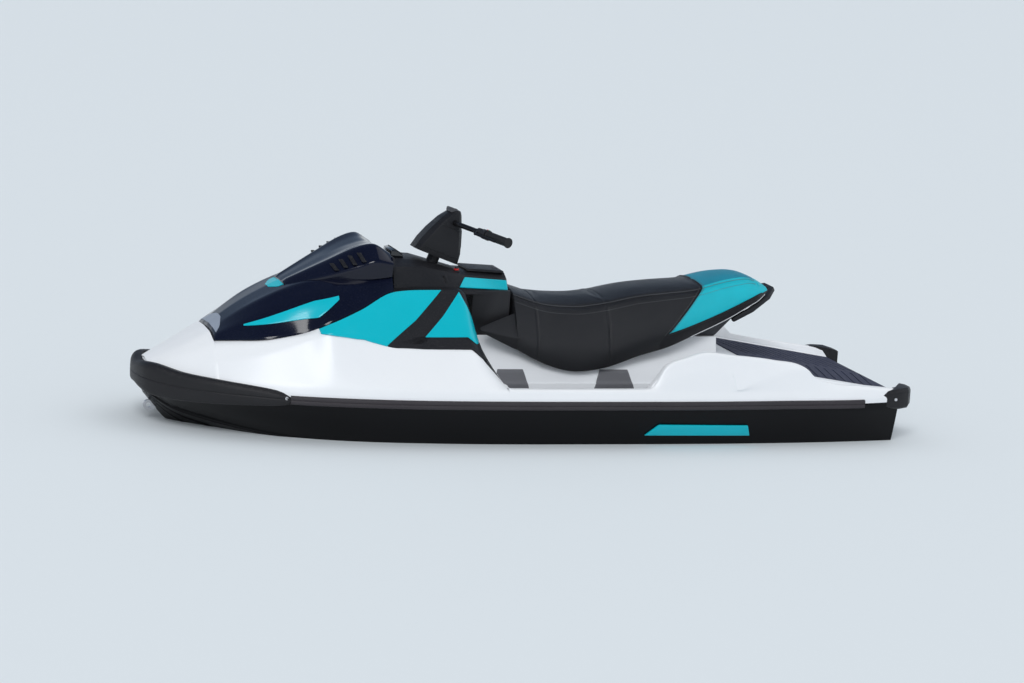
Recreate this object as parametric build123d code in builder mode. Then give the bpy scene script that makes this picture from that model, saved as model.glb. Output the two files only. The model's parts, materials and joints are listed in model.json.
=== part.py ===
from build123d import *
import os
from math import cos, hypot, radians, sin

# Personal watercraft with three seats: a moulded deck on a decked hull, driven by a jet pump.
# Millimetres. +X points to the bow, +Y to port and +Z up.
# The origin is midships on the centreline, at the waterline.

os.makedirs("parts", exist_ok=True)

SIDES = (("port", 1), ("starboard", -1))

# Hull and deck
BOND_Z = 180            # joint between hull and deck
LAND = 25               # upright land above and below the joint
GUNWALE_TURN = 14       # how far the gunwale leans in above its land
GUNWALE_Z = 240
HULL_END = -1600        # transom
DECK_END = -1640        # aft edge of the deck
BOW_END = 1640          # blunt end of hull and deck behind the bumper
TOUCH = 0.3             # gap between pieces that sit on each other

# Plan of the joint: x, half breadth
PLAN = (
    (BOW_END, 135), (1540, 235), (1400, 345), (1200, 448), (930, 528), (450, 588),
    (-250, 600), (-1000, 580), (HULL_END, 508), (DECK_END, 470),
)

# Hull bottom: x, chine half breadth, chine height, keel height
BOTTOM = (
    (BOW_END, 60, 132, 118), (1540, 110, 75, 5), (1400, 190, 40, -85), (1200, 310, 10, -160),
    (930, 415, -15, -200), (450, 480, -38, -214), (-250, 498, -48, -215),
    (-1000, 490, -50, -215), (HULL_END, 440, -50, -215),
)

# Front of the deck: x, gunwale height, cheek half breadth and height, shoulder half breadth and height
FRONT = (
    (BOW_END, 232, 95, 248, 55, 260), (1540, GUNWALE_Z, 160, 290, 90, 312),
    (1400, GUNWALE_Z, 225, 355, 120, 390), (1385, GUNWALE_Z, 230, 364, 120, 368),
    (1200, GUNWALE_Z, 312, 394, 200, 398), (1030, GUNWALE_Z, 360, 428, 335, 432),
    (930, GUNWALE_Z, 400, 450, 360, 478), (800, GUNWALE_Z, 405, 432, 325, 530),
    (640, GUNWALE_Z, 410, 397, 262, 598), (450, GUNWALE_Z, 412, 392, 248, 606),
    (330, GUNWALE_Z, 410, 386, 238, 600), (262, GUNWALE_Z, 440, 318, 225, 420),
    (190, GUNWALE_Z, 480, 250, 188, 300),
)

# Side decks: x, top height
SIDE_TOPS = (
    (330, 244), (190, 244), (-250, 244), (-420, 246), (-500, 340), (-590, 374), (-690, 397),
    (-790, 386), (-1000, 362), (-1150, 328), (-1190, 290), (-1450, 247), (HULL_END, 230),
    (DECK_END, 222),
)
SIDE_INSET = 24         # top edge of the side deck, in from the joint
SIDE_LEAN = 0.22        # how much further in each millimetre of extra height takes it
SIDE_WIDTH = 32

# Footwells
WELL_FRONT = 150
WELL_REAR = -800
WELL_INNER = 245
WELL_RIM = 105          # from the widest point of the joint in to the footwells
WELL_OUTER = max(row[1] for row in PLAN) - WELL_RIM
WELL_FLOOR = 92
PAN = 12                # wall of the moulded pan
RAMP = 145              # length of the ramp up to the platform
RAMP_Z = 318
FRONT_SLOPE = 55
MAT = 5

# Pedestal under the seat, and the platform behind it
PEDESTAL_FRONT = 262
PEDESTAL_REAR = -862
PEDESTAL_TOP = 400
PEDESTAL = ((WELL_INNER, BOND_Z), (228, 250), (176, 340), (166, PEDESTAL_TOP))
PLATFORM_FRONT_Z = 320
PLATFORM_REAR_Z = 196
PLATFORM_HALF = 455

# Engine bay, front bin and engine
BAY_FRONT = 20
BAY_REAR = -620
BAY_HALF = 140
HULL_BAY_HALF = 200
BAY_FLOOR = -90
BIN_FRONT = 1270
BIN_REAR = 860
BIN_FRONT_HALF = 110
BIN_REAR_HALF = 250
BIN_FLOOR = 200
ENGINE_FRONT = -120
ENGINE_REAR = -560
ENGINE_HALF = 110
ENGINE_TOP = 232

# Jet pump
PUMP_Z = -70
PUMP_BORE = 82
PUMP_WALL = 11
TIP_GAP = 5
TUNNEL_FRONT = -1000
IMPELLER_FRONT = TUNNEL_FRONT - 15
IMPELLER_LENGTH = 82
BLADES = 4
HUB = 34
SHAFT = 14
SHAFT_BORE = 20
VANES = 7
VANE_LENGTH = 78
WEAR_RING = 210         # length of the straight housing round impeller and stator
VENTURI = 75
OUTLET_LENGTH = 45
VENTURI_FRONT = TUNNEL_FRONT - WEAR_RING
VENTURI_NECK = VENTURI_FRONT - VENTURI
VENTURI_END = VENTURI_NECK - OUTLET_LENGTH
OUTLET = 52
OUTLET_WALL = 10
TUNNEL_HALF = 130
TUNNEL_ROOF = 40
WELL_HALF = 150
WELL_ROOF = 130
PLATE_END = -1470
PLATE = 8
NOZZLE_X = VENTURI_END - 15
NOZZLE_LENGTH = 130
NOZZLE_BELL = 78
NOZZLE_MOUTH = 50
NOZZLE_WALL = 8
NOZZLE_RIM = 14
PIVOT = 5
WELL_START = NOZZLE_X   # deeper part of the tunnel, for nozzle and bucket
BUCKET_X = NOZZLE_X - 55
BUCKET_RADIUS = 165
BUCKET_SHELL = 8
BUCKET_HALF = 124
BUCKET_ARM = 6
BUCKET_LOW = 22         # parked shell, degrees above the pump's axis
BUCKET_HIGH = 84


def row_at(table, x):
    """The row of a station table at x, by straight lines between stations."""
    for front, back in zip(table, table[1:]):
        if back[0] <= x <= front[0]:
            share = (front[0] - x) / (front[0] - back[0])
            return [a + (b - a) * share for a, b in zip(front, back)]
    raise ValueError(f"no station at {x}")


def breadth_at(x):
    return row_at(PLAN, x)[1]


def whole(half):
    """A section from its port half, where a point on the centreline isn't repeated."""
    return list(half) + [(-y, z) for y, z in reversed(half) if y > 0]


def ring(x, points, side=1):
    """One section of a loft, in the plane across the craft at x."""
    with BuildSketch(Plane.YZ.offset(x)) as face:
        with BuildLine():
            Polyline(*[(side * y, z) for y, z in points], close=True)
        make_face()
    add(face.sketch)


def profile(points):
    """A face in the craft's centre plane, from points (x, z)."""
    with BuildSketch(Plane.XZ) as face:
        with BuildLine():
            Polyline(*points, close=True)
        make_face()
    return face.sketch


def plan_face(z, points):
    """A level face at height z, from points (x, y)."""
    with BuildSketch(Plane.XY.offset(z)) as face:
        with BuildLine():
            Polyline(*points, close=True)
        make_face()
    return face.sketch


def rod(start, end, radius, mode=Mode.ADD):
    """A round bar between two points."""
    along = Vector(*end) - Vector(*start)
    with BuildSketch(Plane(origin=start, z_dir=along)) as face:
        Circle(radius)
    extrude(face.sketch, amount=along.length, dir=along, mode=mode)


def skin(stations, thickness, side):
    """A panel of one thickness on a leaning side, given as x, lower edge, upper edge."""
    for x, low, high in stations:
        run = (high[0] - low[0], high[1] - low[1])
        length = hypot(*run)
        out = (run[1] / length * thickness, -run[0] / length * thickness)
        corners = (low, (low[0] + out[0], low[1] + out[1]), (high[0] + out[0], high[1] + out[1]), high)
        ring(x, corners, side)
    loft(ruled=True)


def slots(plane, count, pitch, length, width, lean, depth):
    """Cuts a row of slanted slots into the face that lies on a plane."""
    with BuildSketch(plane) as face:
        with GridLocations(pitch, 0, count, 1):
            Rectangle(width, length, rotation=lean)
    extrude(face.sketch, amount=-depth, mode=Mode.SUBTRACT)


def save(part, name):
    part.label = name
    export_step(part, f"parts/{name}.step")


# Forms of the moulded shells, before their openings are cut
STRAKES = (0.42, 0.70)  # where each strake starts, as a share of the chine's half breadth
STRAKE_WIDTH = 0.07
STRAKE = 12
STRAKE_RISE = 500       # length over which the strakes grow out of the bow
with BuildPart() as hull_form:
    for x, chine_y, chine_z, keel_z in BOTTOM:
        edge = breadth_at(x)
        grown = STRAKE * min(1, (BOW_END - x + 60) / STRAKE_RISE)
        half = [(0, keel_z)]
        for start in STRAKES:
            for share, drop in ((start, 0), (start + STRAKE_WIDTH, grown), (start + STRAKE_WIDTH + 0.01, 0)):
                half.append((share * chine_y, keel_z + (chine_z - keel_z) * share - drop))
        ring(x, whole([*half, (chine_y, chine_z), (edge, BOND_Z - LAND), (edge, BOND_Z)]))
    loft(ruled=True)

with BuildPart() as front_form:
    for x, gunwale, cheek_y, cheek_z, shoulder_y, shoulder_z in FRONT:
        edge = breadth_at(x)
        ring(x, whole([
            (edge, BOND_Z), (edge, BOND_Z + LAND), (edge - GUNWALE_TURN, gunwale),
            (cheek_y, cheek_z), (shoulder_y, shoulder_z),
        ]))
    loft(ruled=True)

# Hull: solid, with pockets for the engine and the deck's pans, the intake duct and the tunnel
PAN_FRONT = WELL_FRONT + FRONT_SLOPE + PAN
PAN_REAR = WELL_REAR - RAMP - PAN
INTAKE_FRONT = -540
INTAKE_REAR = -935
BELOW = -240
with BuildPart() as hull:
    add(hull_form.part)
    with BuildSketch(Plane.XY.offset(BAY_FLOOR)):
        with Locations(((BAY_FRONT + BAY_REAR) / 2, 0)):
            Rectangle(BAY_FRONT - BAY_REAR + 2 * PAN, 2 * HULL_BAY_HALF)
    extrude(amount=BOND_Z - BAY_FLOOR, mode=Mode.SUBTRACT)
    with BuildSketch(Plane.XY.offset(WELL_FLOOR - PAN - TOUCH)):
        for name, side in SIDES:
            with Locations(((PAN_FRONT + PAN_REAR) / 2, side * (WELL_INNER + WELL_OUTER) / 2)):
                Rectangle(PAN_FRONT - PAN_REAR + 2 * TOUCH, WELL_OUTER - WELL_INNER + 2 * PAN + 2 * TOUCH)
    extrude(amount=BOND_Z, mode=Mode.SUBTRACT)
    outline = profile((
        (TUNNEL_FRONT - 1, PUMP_Z + PUMP_BORE), (TUNNEL_FRONT + 100, PUMP_Z + PUMP_BORE),
        (INTAKE_FRONT, BELOW), (INTAKE_REAR, BELOW), (INTAKE_REAR, PUMP_Z - PUMP_BORE - 20),
        (TUNNEL_FRONT - 1, PUMP_Z - PUMP_BORE),
    ))
    extrude(outline, amount=PUMP_BORE, both=True, mode=Mode.SUBTRACT)
    outline = profile((
        (TUNNEL_FRONT, BELOW), (TUNNEL_FRONT, TUNNEL_ROOF), (HULL_END - 1, TUNNEL_ROOF),
        (HULL_END - 1, BELOW),
    ))
    extrude(outline, amount=TUNNEL_HALF, both=True, mode=Mode.SUBTRACT)
    outline = profile((
        (WELL_START, BELOW), (WELL_START, WELL_ROOF), (HULL_END - 1, WELL_ROOF), (HULL_END - 1, BELOW),
    ))
    extrude(outline, amount=WELL_HALF, both=True, mode=Mode.SUBTRACT)
    rod((BAY_REAR, 0, PUMP_Z), (TUNNEL_FRONT + 170, 0, PUMP_Z), SHAFT_BORE, Mode.SUBTRACT)
save(hull.part, "hull")

# Deck: one moulding from the bow to the rear platform
with BuildPart() as deck:
    add(front_form.part)
    for name, side in SIDES:
        for x, top in SIDE_TOPS:
            edge = breadth_at(x)
            knuckle = min(GUNWALE_Z, top - 4)
            outer = edge - SIDE_INSET - SIDE_LEAN * max(top - GUNWALE_Z, 0)
            foot = min(WELL_OUTER + 5, edge - 70)
            ring(x, (
                (foot, BOND_Z), (edge, BOND_Z), (edge, BOND_Z + LAND), (edge - GUNWALE_TURN, knuckle),
                (outer, top), (outer - SIDE_WIDTH, top),
            ), side)
        loft(ruled=True)
    with BuildSketch(Plane.YZ.offset(PEDESTAL_REAR)):
        with BuildLine():
            Polyline(*whole(PEDESTAL), close=True)
        make_face()
    extrude(amount=PEDESTAL_FRONT - PEDESTAL_REAR)
    outline = profile((
        (PEDESTAL_REAR, BOND_Z), (PEDESTAL_REAR, PLATFORM_FRONT_Z),
        (DECK_END, PLATFORM_REAR_Z), (DECK_END, BOND_Z),
    ))
    extrude(outline, amount=PLATFORM_HALF, both=True)
    with BuildSketch(Plane.XY.offset(WELL_FLOOR - PAN)):
        for name, side in SIDES:
            with Locations(((PAN_FRONT + PAN_REAR) / 2, side * (WELL_INNER + WELL_OUTER) / 2)):
                Rectangle(PAN_FRONT - PAN_REAR, WELL_OUTER - WELL_INNER + 2 * PAN)
    extrude(amount=BOND_Z + LAND - WELL_FLOOR + PAN)
    for name, side in SIDES:
        with BuildSketch(Plane.XZ.offset(-side * (WELL_INNER + WELL_OUTER) / 2)):
            with BuildLine():
                Polyline(
                    (WELL_FRONT, WELL_FLOOR), (WELL_REAR, WELL_FLOOR), (WELL_REAR - RAMP, RAMP_Z),
                    (WELL_REAR - RAMP, 700), (WELL_FRONT + FRONT_SLOPE, 700),
                    (WELL_FRONT + FRONT_SLOPE, GUNWALE_Z + 10), close=True,
                )
            make_face()
        extrude(amount=(WELL_OUTER - WELL_INNER) / 2, both=True, mode=Mode.SUBTRACT)
    with BuildSketch(Plane.XY.offset(BOND_Z)):
        with Locations(((BAY_FRONT + BAY_REAR) / 2, 0)):
            Rectangle(BAY_FRONT - BAY_REAR, 2 * BAY_HALF)
    extrude(amount=PEDESTAL_TOP - BOND_Z, mode=Mode.SUBTRACT)
    outline = plan_face(BIN_FLOOR, (
        (BIN_FRONT, BIN_FRONT_HALF), (BIN_FRONT, -BIN_FRONT_HALF),
        (BIN_REAR, -BIN_REAR_HALF), (BIN_REAR, BIN_REAR_HALF),
    ))
    extrude(outline, amount=500, dir=(0, 0, 1), mode=Mode.SUBTRACT)
save(deck.part, "deck")

# Bow bumper: x, half breadth, bottom, top
BUMPER = (
    (1685, 60, 166, 244), (1672, 112, 150, 262), (BOW_END, 172, 136, 272), (1540, 270, 130, 250),
    (1400, 375, 138, 240), (1200, 468, 150, 222), (1110, 488, 158, 202),
)
BUMPER_LINE = 3         # half width and depth of the line along the bumpers and rails
with BuildPart() as bow_bumper:
    for x, half, low, high in BUMPER:
        middle = (low + high) / 2
        ring(x, whole([
            (half - 22, low), (half, low + 14), (half, middle - BUMPER_LINE), (half - BUMPER_LINE, middle),
            (half, middle + BUMPER_LINE), (half, high - 18), (half - 26, high),
        ]))
    loft(ruled=True)
    add(hull_form.part, mode=Mode.SUBTRACT)
    add(front_form.part, mode=Mode.SUBTRACT)
save(bow_bumper.part, "bow_bumper")

# Rub rails along the joint, and the bumpers at the stern corners
RAIL_OUT = 12
RAIL_LOW = 163
RAIL_HIGH = 198
RAIL_SLOPE = 5
RAIL_MIDDLE = (RAIL_LOW + RAIL_HIGH) / 2
STERN_START = -1420     # forward tip of the stern bumpers, where the rails end
RAIL_X = (1110, 930, 450, -250, -1000, STERN_START)

# Stern bumpers: x, how far out from the joint's line, bottom, top, depth from their outer face
STERN_BUMPER = (
    (STERN_START, 6, 168, 198, 40), (-1500, 13, 158, 222, 50), (HULL_END, 18, 150, 238, 60),
)
STERN_CORNER = ((-1650, 502, 152, 240, 110), (-1680, 456, 158, 234, 70), (-1688, 420, 164, 228, 36))
for name, side in SIDES:
    with BuildPart() as rub_rail:
        for x in RAIL_X:
            edge = breadth_at(x)
            ring(x, (
                (edge, RAIL_LOW), (edge + RAIL_OUT, RAIL_LOW + RAIL_SLOPE),
                (edge + RAIL_OUT, RAIL_MIDDLE - BUMPER_LINE), (edge + RAIL_OUT - BUMPER_LINE, RAIL_MIDDLE),
                (edge + RAIL_OUT, RAIL_MIDDLE + BUMPER_LINE), (edge + RAIL_OUT, RAIL_HIGH - RAIL_SLOPE),
                (edge, RAIL_HIGH),
            ), side)
        loft(ruled=True)
    save(rub_rail.part, f"rub_rail_{name}")
    with BuildPart() as stern_bumper:
        stations = [(x, breadth_at(x) + out, *rest) for x, out, *rest in STERN_BUMPER]
        for x, half, low, high, deep in (*stations, *STERN_CORNER):
            ring(x, (
                (half - deep, low), (half - 8, low), (half, low + 8), (half, high - 12), (half - 14, high),
                (half - deep, high),
            ), side)
        loft(ruled=True)
        add(hull_form.part, mode=Mode.SUBTRACT)
        add(deck.part, mode=Mode.SUBTRACT)
    save(stern_bumper.part, f"stern_bumper_{name}")

# Sponsons on the hull's sides
SPONSON = 20
SPONSON_OUTLINE = ((-415, 44), (-470, 96), (-880, 90), (-900, 40))
for name, side in SIDES:
    with BuildPart() as sponson:
        stations = []
        for x in (-400, -920):
            _, chine_y, chine_z, keel_z = row_at(BOTTOM, x)
            stations.append((x, (chine_y, chine_z), (breadth_at(x), BOND_Z - LAND)))
        skin(stations, SPONSON, side)
        outline = profile(SPONSON_OUTLINE)
        extrude(outline, amount=BOND_Z * 4, both=True, mode=Mode.INTERSECT)
    save(sponson.part, f"sponson_{name}")

# Side panels at the front, cut from one layer by their outlines seen from the side
PANEL = 8
PANEL_X = (976, 930, 800, 640, 450, 330, 262)
PANELS = {
    "fairing": ((990, 380), (700, 380), (420, 616), (420, 660), (990, 660)),
    "fairing_trim": (
        (700, 380), (258, 290), (258, 425), (545, 425), (345, 616), (345, 660), (420, 660), (420, 616),
    ),
    "knee_panel": ((545, 425), (258, 425), (258, 660), (345, 660), (345, 616)),
}
for piece, corners in PANELS.items():
    for name, side in SIDES:
        with BuildPart() as panel:
            stations = []
            for x in PANEL_X:
                _, _, cheek_y, cheek_z, shoulder_y, shoulder_z = row_at(FRONT, x)
                stations.append((x, (cheek_y, cheek_z), (shoulder_y, shoulder_z)))
            skin(stations, PANEL, side)
            outline = profile(corners)
            extrude(outline, amount=BOND_Z * 4, both=True, mode=Mode.INTERSECT)
        save(panel.part, f"{piece}_{name}")

# Console: x, base half breadth, base height, shoulder half breadth and height, top
CONSOLE = (
    (622, 205, 580, 165, 690, 714), (490, 200, 580, 150, 690, 710), (300, 186, 580, 112, 650, 662),
    (95, 142, 572, 98, 632, 652),
)
NECK_HALF = 165
COLUMN_BASE = (400, 0, 705)
RAKE = 20
COLUMN_AXIS = (-sin(radians(RAKE)), 0, cos(radians(RAKE)))
COLUMN_RADIUS = 26
COLUMN_DEPTH = 60
VENTS = 4
VENT_X = 400
VENT_HEIGHT = 0.63      # place of the vents up the console's side, as a share of it
VENT_PITCH = 22
VENT_LENGTH = 34
VENT_WIDTH = 9
VENT_LEAN = 18
VENT_DEPTH = 7
GLOVE_FRONT = 255
GLOVE_REAR = 115
GLOVE_HALF = 62
GLOVE_DEPTH = 120
glove_top = row_at(CONSOLE, GLOVE_REAR)[5]


def on_column(distance):
    return tuple(base + way * distance for base, way in zip(COLUMN_BASE, COLUMN_AXIS))


with BuildPart() as console:
    for x, base_y, base_z, shoulder_y, shoulder_z, top in CONSOLE:
        ring(x, whole([(base_y, base_z), (shoulder_y, shoulder_z), (shoulder_y * 0.6, top)]))
    loft(ruled=True)
    outline = profile((
        (PEDESTAL_FRONT, PEDESTAL_TOP), (PEDESTAL_FRONT, CONSOLE[-1][2] + 20),
        (CONSOLE[-1][0], CONSOLE[-1][2] + 20), (CONSOLE[-1][0], PEDESTAL_TOP),
    ))
    extrude(outline, amount=NECK_HALF, both=True)
    add(front_form.part, mode=Mode.SUBTRACT)
    add(deck.part, mode=Mode.SUBTRACT)
    with BuildSketch(Plane.XY.offset(glove_top - GLOVE_DEPTH)):
        with Locations(((GLOVE_FRONT + GLOVE_REAR) / 2, 0)):
            Rectangle(GLOVE_FRONT - GLOVE_REAR, 2 * GLOVE_HALF)
    extrude(amount=2 * GLOVE_DEPTH, mode=Mode.SUBTRACT)
    rod(on_column(-COLUMN_DEPTH - 1), on_column(COLUMN_DEPTH), COLUMN_RADIUS + TOUCH, Mode.SUBTRACT)
    _, base_y, base_z, shoulder_y, shoulder_z, _ = row_at(CONSOLE, VENT_X)
    for name, side in SIDES:
        vent_y = base_y + (shoulder_y - base_y) * VENT_HEIGHT
        vent_z = base_z + (shoulder_z - base_z) * VENT_HEIGHT
        place = (VENT_X, side * vent_y, vent_z)
        out = (0, side * (shoulder_z - base_z), base_y - shoulder_y)
        slots(
            Plane(origin=place, x_dir=(1, 0, 0), z_dir=out), VENTS, VENT_PITCH, VENT_LENGTH, VENT_WIDTH,
            VENT_LEAN * side, VENT_DEPTH,
        )
save(console.part, "console")

FLANK = 6
for name, side in SIDES:
    with BuildPart() as console_flank:
        stations = []
        for x in (330, 300, 97):
            _, base_y, base_z, shoulder_y, shoulder_z, _ = row_at(CONSOLE, x)
            stations.append((x, (base_y, base_z), (shoulder_y, shoulder_z)))
        skin(stations, FLANK, side)
        outline = profile(((325, 604), (325, 640), (97, 625), (97, 585), (250, 585)))
        extrude(outline, amount=NECK_HALF * 2, both=True, mode=Mode.INTERSECT)
        add(front_form.part, mode=Mode.SUBTRACT)
        add(console.part, mode=Mode.SUBTRACT)
    save(console_flank.part, f"console_flank_{name}")

GAUGE_HALF = 62
with BuildPart() as gauge:
    outline = profile(((612, 690), (606, 744), (590, 748), (552, 724), (548, 690)))
    extrude(outline, amount=GAUGE_HALF, both=True)
    add(console.part, mode=Mode.SUBTRACT)
save(gauge.part, "gauge")

# Hood over the bin: x, edge half breadth, side half breadth and height, crown half breadth and height, top
HOOD_GAP = 1
HOOD_WALL = 10
HOOD = (
    (1384, 176, 150, 392, 80, 400, 402), (1320, 222, 190, 424, 100, 450, 456),
    (1200, 306, 236, 478, 130, 528, 536), (1030, 329, 258, 548, 150, 606, 616),
    (930, 356, 265, 588, 160, 632, 642), (800, 322, 258, 622, 160, 660, 668),
    (642, 262, 236, 652, 150, 684, 692),
)


def hood_edge(x):
    """Height of the hood's lower edge, on the deck's shoulder."""
    return row_at(FRONT, min(x, 1385))[5] + HOOD_GAP


def hood_section(x, edge_y, side_y, side_z, crown_y, crown_z, top, inset=0, drop=0):
    low = hood_edge(x) - drop
    ring(x, whole([
        (edge_y - inset, low), (side_y - inset, side_z - inset * 0.6),
        (crown_y - inset * 0.6, crown_z - inset), (0, top - inset),
    ]))


with BuildPart() as hood_form:
    for row in HOOD:
        hood_section(*row)
    loft(ruled=True)

with BuildPart() as hood_inside:
    for x in (HOOD[0][0] - 1.6 * HOOD_WALL, *[row[0] for row in HOOD[1:-1]], HOOD[-1][0] + HOOD_WALL):
        hood_section(*row_at(HOOD, x), inset=HOOD_WALL, drop=HOOD_WALL * 2)
    loft(ruled=True)

with BuildPart() as hood:
    add(hood_form.part)
    add(hood_inside.part, mode=Mode.SUBTRACT)
save(hood.part, "hood")

INLAY = 3
INLAY_OUTLINE = ((1275, 442), (985, 558), (890, 582), (880, 575), (975, 497))
for name, side in SIDES:
    with BuildPart() as hood_inlay:
        stations = []
        for row in HOOD[1:]:
            stations.append((row[0], (row[1], hood_edge(row[0])), (row[2], row[3])))
        skin(stations, INLAY, side)
        outline = profile(INLAY_OUTLINE)
        extrude(outline, amount=BOND_Z * 4, both=True, mode=Mode.INTERSECT)
    save(hood_inlay.part, f"hood_inlay_{name}")

# Raised cowl on the hood: x, half breadth, side height, top half breadth, top
COWL = (
    (1070, 100, 600, 70, 614), (904, 190, 660, 120, 706), (780, 235, 706, 150, 772),
    (716, 250, 730, 165, 788), (644, 250, 722, 180, 752),
)
COWL_DROP = 32          # how far the cowl's foot lies under the hood's rear shoulder
COWL_BASE = HOOD[-1][3] - COWL_DROP
LOUVRES = 4
LOUVRE_X = 814
LOUVRE_PITCH = 36
LOUVRE_LENGTH = 52
LOUVRE_WIDTH = 12
LOUVRE_LEAN = 15
LOUVRE_DEPTH = 12
with BuildPart() as hood_cowl:
    for x, half, side_z, top_half, top in COWL:
        ring(x, whole([(half - 12, 580), (half, side_z), (top_half, top), (0, top - 6)]))
    loft(ruled=True)
    add(hood_form.part, mode=Mode.SUBTRACT)
    with BuildSketch(Plane.XY.offset(COWL_BASE)):
        Rectangle(4000, 4000)
    extrude(amount=-COWL_BASE, mode=Mode.SUBTRACT)
    _, half, side_z, top_half, top = row_at(COWL, LOUVRE_X)
    for name, side in SIDES:
        place = (LOUVRE_X, side * (half + top_half) / 2, (side_z + top) / 2)
        out = (0, side * (top - side_z), half - top_half)
        slots(
            Plane(origin=place, x_dir=(1, 0, 0), z_dir=out), LOUVRES, LOUVRE_PITCH, LOUVRE_LENGTH,
            LOUVRE_WIDTH, LOUVRE_LEAN * side, LOUVRE_DEPTH,
        )
save(hood_cowl.part, "hood_cowl")

MIRROR_Y = 178
MIRROR_Z = 716
MIRROR = 4
for name, side in SIDES:
    with BuildPart() as mirror:
        with BuildSketch(Plane.YZ.offset(COWL[-1][0] - MIRROR)):
            with Locations((side * MIRROR_Y, MIRROR_Z)):
                RectangleRounded(96, 38, 9)
        extrude(amount=MIRROR)
    save(mirror.part, f"mirror_{name}")

# Glove-box lid
LID_FRONT = 268
LID_REAR = 102
LID_HALF = 78
LID = 11
LID_GAP = 0.6
with BuildPart() as glove_lid:
    lid_front_z = row_at(CONSOLE, LID_FRONT)[5] + LID_GAP
    lid_rear_z = row_at(CONSOLE, LID_REAR)[5] + LID_GAP
    outline = profile((
        (LID_FRONT, lid_front_z), (LID_FRONT, lid_front_z + LID), (LID_REAR, lid_rear_z + LID),
        (LID_REAR, lid_rear_z),
    ))
    extrude(outline, amount=LID_HALF, both=True)
    chamfer(glove_lid.faces().sort_by(Axis.Z)[-1].edges(), 4)
save(glove_lid.part, "glove_lid")

# Seat: x, then half breadth and height of foot, belly and shoulder, and the crown's height
SEAT = (
    (83, 232, 352, 245, 400, 150, 576, 596), (-60, 250, 285, 262, 350, 166, 536, 557),
    (-200, 252, 255, 266, 320, 170, 528, 548), (-340, 250, 275, 264, 345, 170, 545, 562),
    (-480, 242, 322, 257, 390, 170, 574, 592), (-620, 228, 360, 245, 425, 166, 590, 606),
    (-750, 214, 415, 230, 468, 158, 604, 616), (-900, 192, 480, 208, 528, 145, 640, 652),
    (-1000, 172, 530, 186, 568, 122, 650, 660), (-1050, 160, 556, 170, 588, 105, 636, 644),
    (-1110, 116, 592, 124, 600, 66, 612, 616),
)
SEAT_SIDE_GAP = 5
SEAT_REST = 0.5
TAIL_OUTLINE = (
    (-820, 720), (-790, 616), (-575, 385), (-640, 406), (-750, 453), (-900, 521), (-1050, 590), (-1130, 604),
    (-1130, 720),
)
with BuildPart() as seat_form:
    for x, foot_y, foot_z, belly_y, belly_z, shoulder_y, shoulder_z, crown in SEAT:
        ring(x, whole([(foot_y, foot_z), (belly_y, belly_z), (shoulder_y, shoulder_z), (0, crown)]))
    loft(ruled=True)
    with BuildSketch(Plane.YZ.offset(PEDESTAL_REAR - SEAT_SIDE_GAP)):
        with BuildLine():
            room = [(y + SEAT_SIDE_GAP, z) for y, z in PEDESTAL[:-1]]
            room.append((PEDESTAL[-1][0] + SEAT_SIDE_GAP, PEDESTAL_TOP + SEAT_REST))
            Polyline(*whole(room), close=True)
        make_face()
    extrude(amount=1200, mode=Mode.SUBTRACT)

# Forward ear of each seat skirt: section at the seat's front, section at the tip
EAR_TIP_X = 243
EAR_ROOT = ((232, 352), (245, 400), (192, 500), (176, 490), (200, 400), (212, 352))
EAR_TIP = ((236, 427), (243, 434), (236, 447), (230, 445), (228, 436), (231, 429))
with BuildPart() as seat:
    add(seat_form.part)
    outline = profile(TAIL_OUTLINE)
    extrude(outline, amount=BOND_Z * 4, both=True, mode=Mode.SUBTRACT)
    for name, side in SIDES:
        ring(SEAT[0][0], EAR_ROOT, side)
        ring(EAR_TIP_X, EAR_TIP, side)
        loft(ruled=True)
save(seat.part, "seat")

with BuildPart() as seat_tail:
    add(seat_form.part)
    outline = profile(TAIL_OUTLINE)
    extrude(outline, amount=BOND_Z * 4, both=True, mode=Mode.INTERSECT)
save(seat_tail.part, "seat_tail")

# Seat base under the tail, and the grab handle round it
BASE_HALF = 150
BASE_FRONT = -716
BASE_REAR = -985
base_rear_z = row_at(SEAT, BASE_REAR)[2] - SEAT_REST
with BuildPart() as seat_base:
    outline = profile((
        (BASE_FRONT, PEDESTAL_TOP), (-750, row_at(SEAT, -750)[2] - SEAT_REST),
        (-900, row_at(SEAT, -900)[2] - SEAT_REST), (BASE_REAR, base_rear_z),
        (BASE_REAR - 4, base_rear_z - 26), (-945, 486), (PEDESTAL_REAR, PEDESTAL_TOP),
    ))
    extrude(outline, amount=BASE_HALF, both=True)
save(seat_base.part, "seat_base")

HANDLE_SLOPE = 27.5
HANDLE = 11
HANDLE_DROP = 20
with BuildPart() as grab_handle:
    handle_way = (-cos(radians(HANDLE_SLOPE)), 0, sin(radians(HANDLE_SLOPE)))
    handle_up = (sin(radians(HANDLE_SLOPE)), 0, cos(radians(HANDLE_SLOPE)))
    handle_root = (BASE_REAR, 0, base_rear_z - HANDLE_DROP)
    with BuildSketch(Plane(origin=handle_root, x_dir=handle_way, z_dir=handle_up)):
        with BuildLine():
            outer = [(-60, 176), (40, 176), (150, 122), (204, 52)]
            inner = [(-60, BASE_HALF + TOUCH), (30, BASE_HALF + TOUCH), (134, 100), (182, 36)]
            Polyline(
                *outer, *[(x, -y) for x, y in reversed(outer)], *[(x, -y) for x, y in inner],
                *reversed(inner), close=True,
            )
        make_face()
    extrude(amount=HANDLE, both=True)
save(grab_handle.part, "grab_handle")

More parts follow.
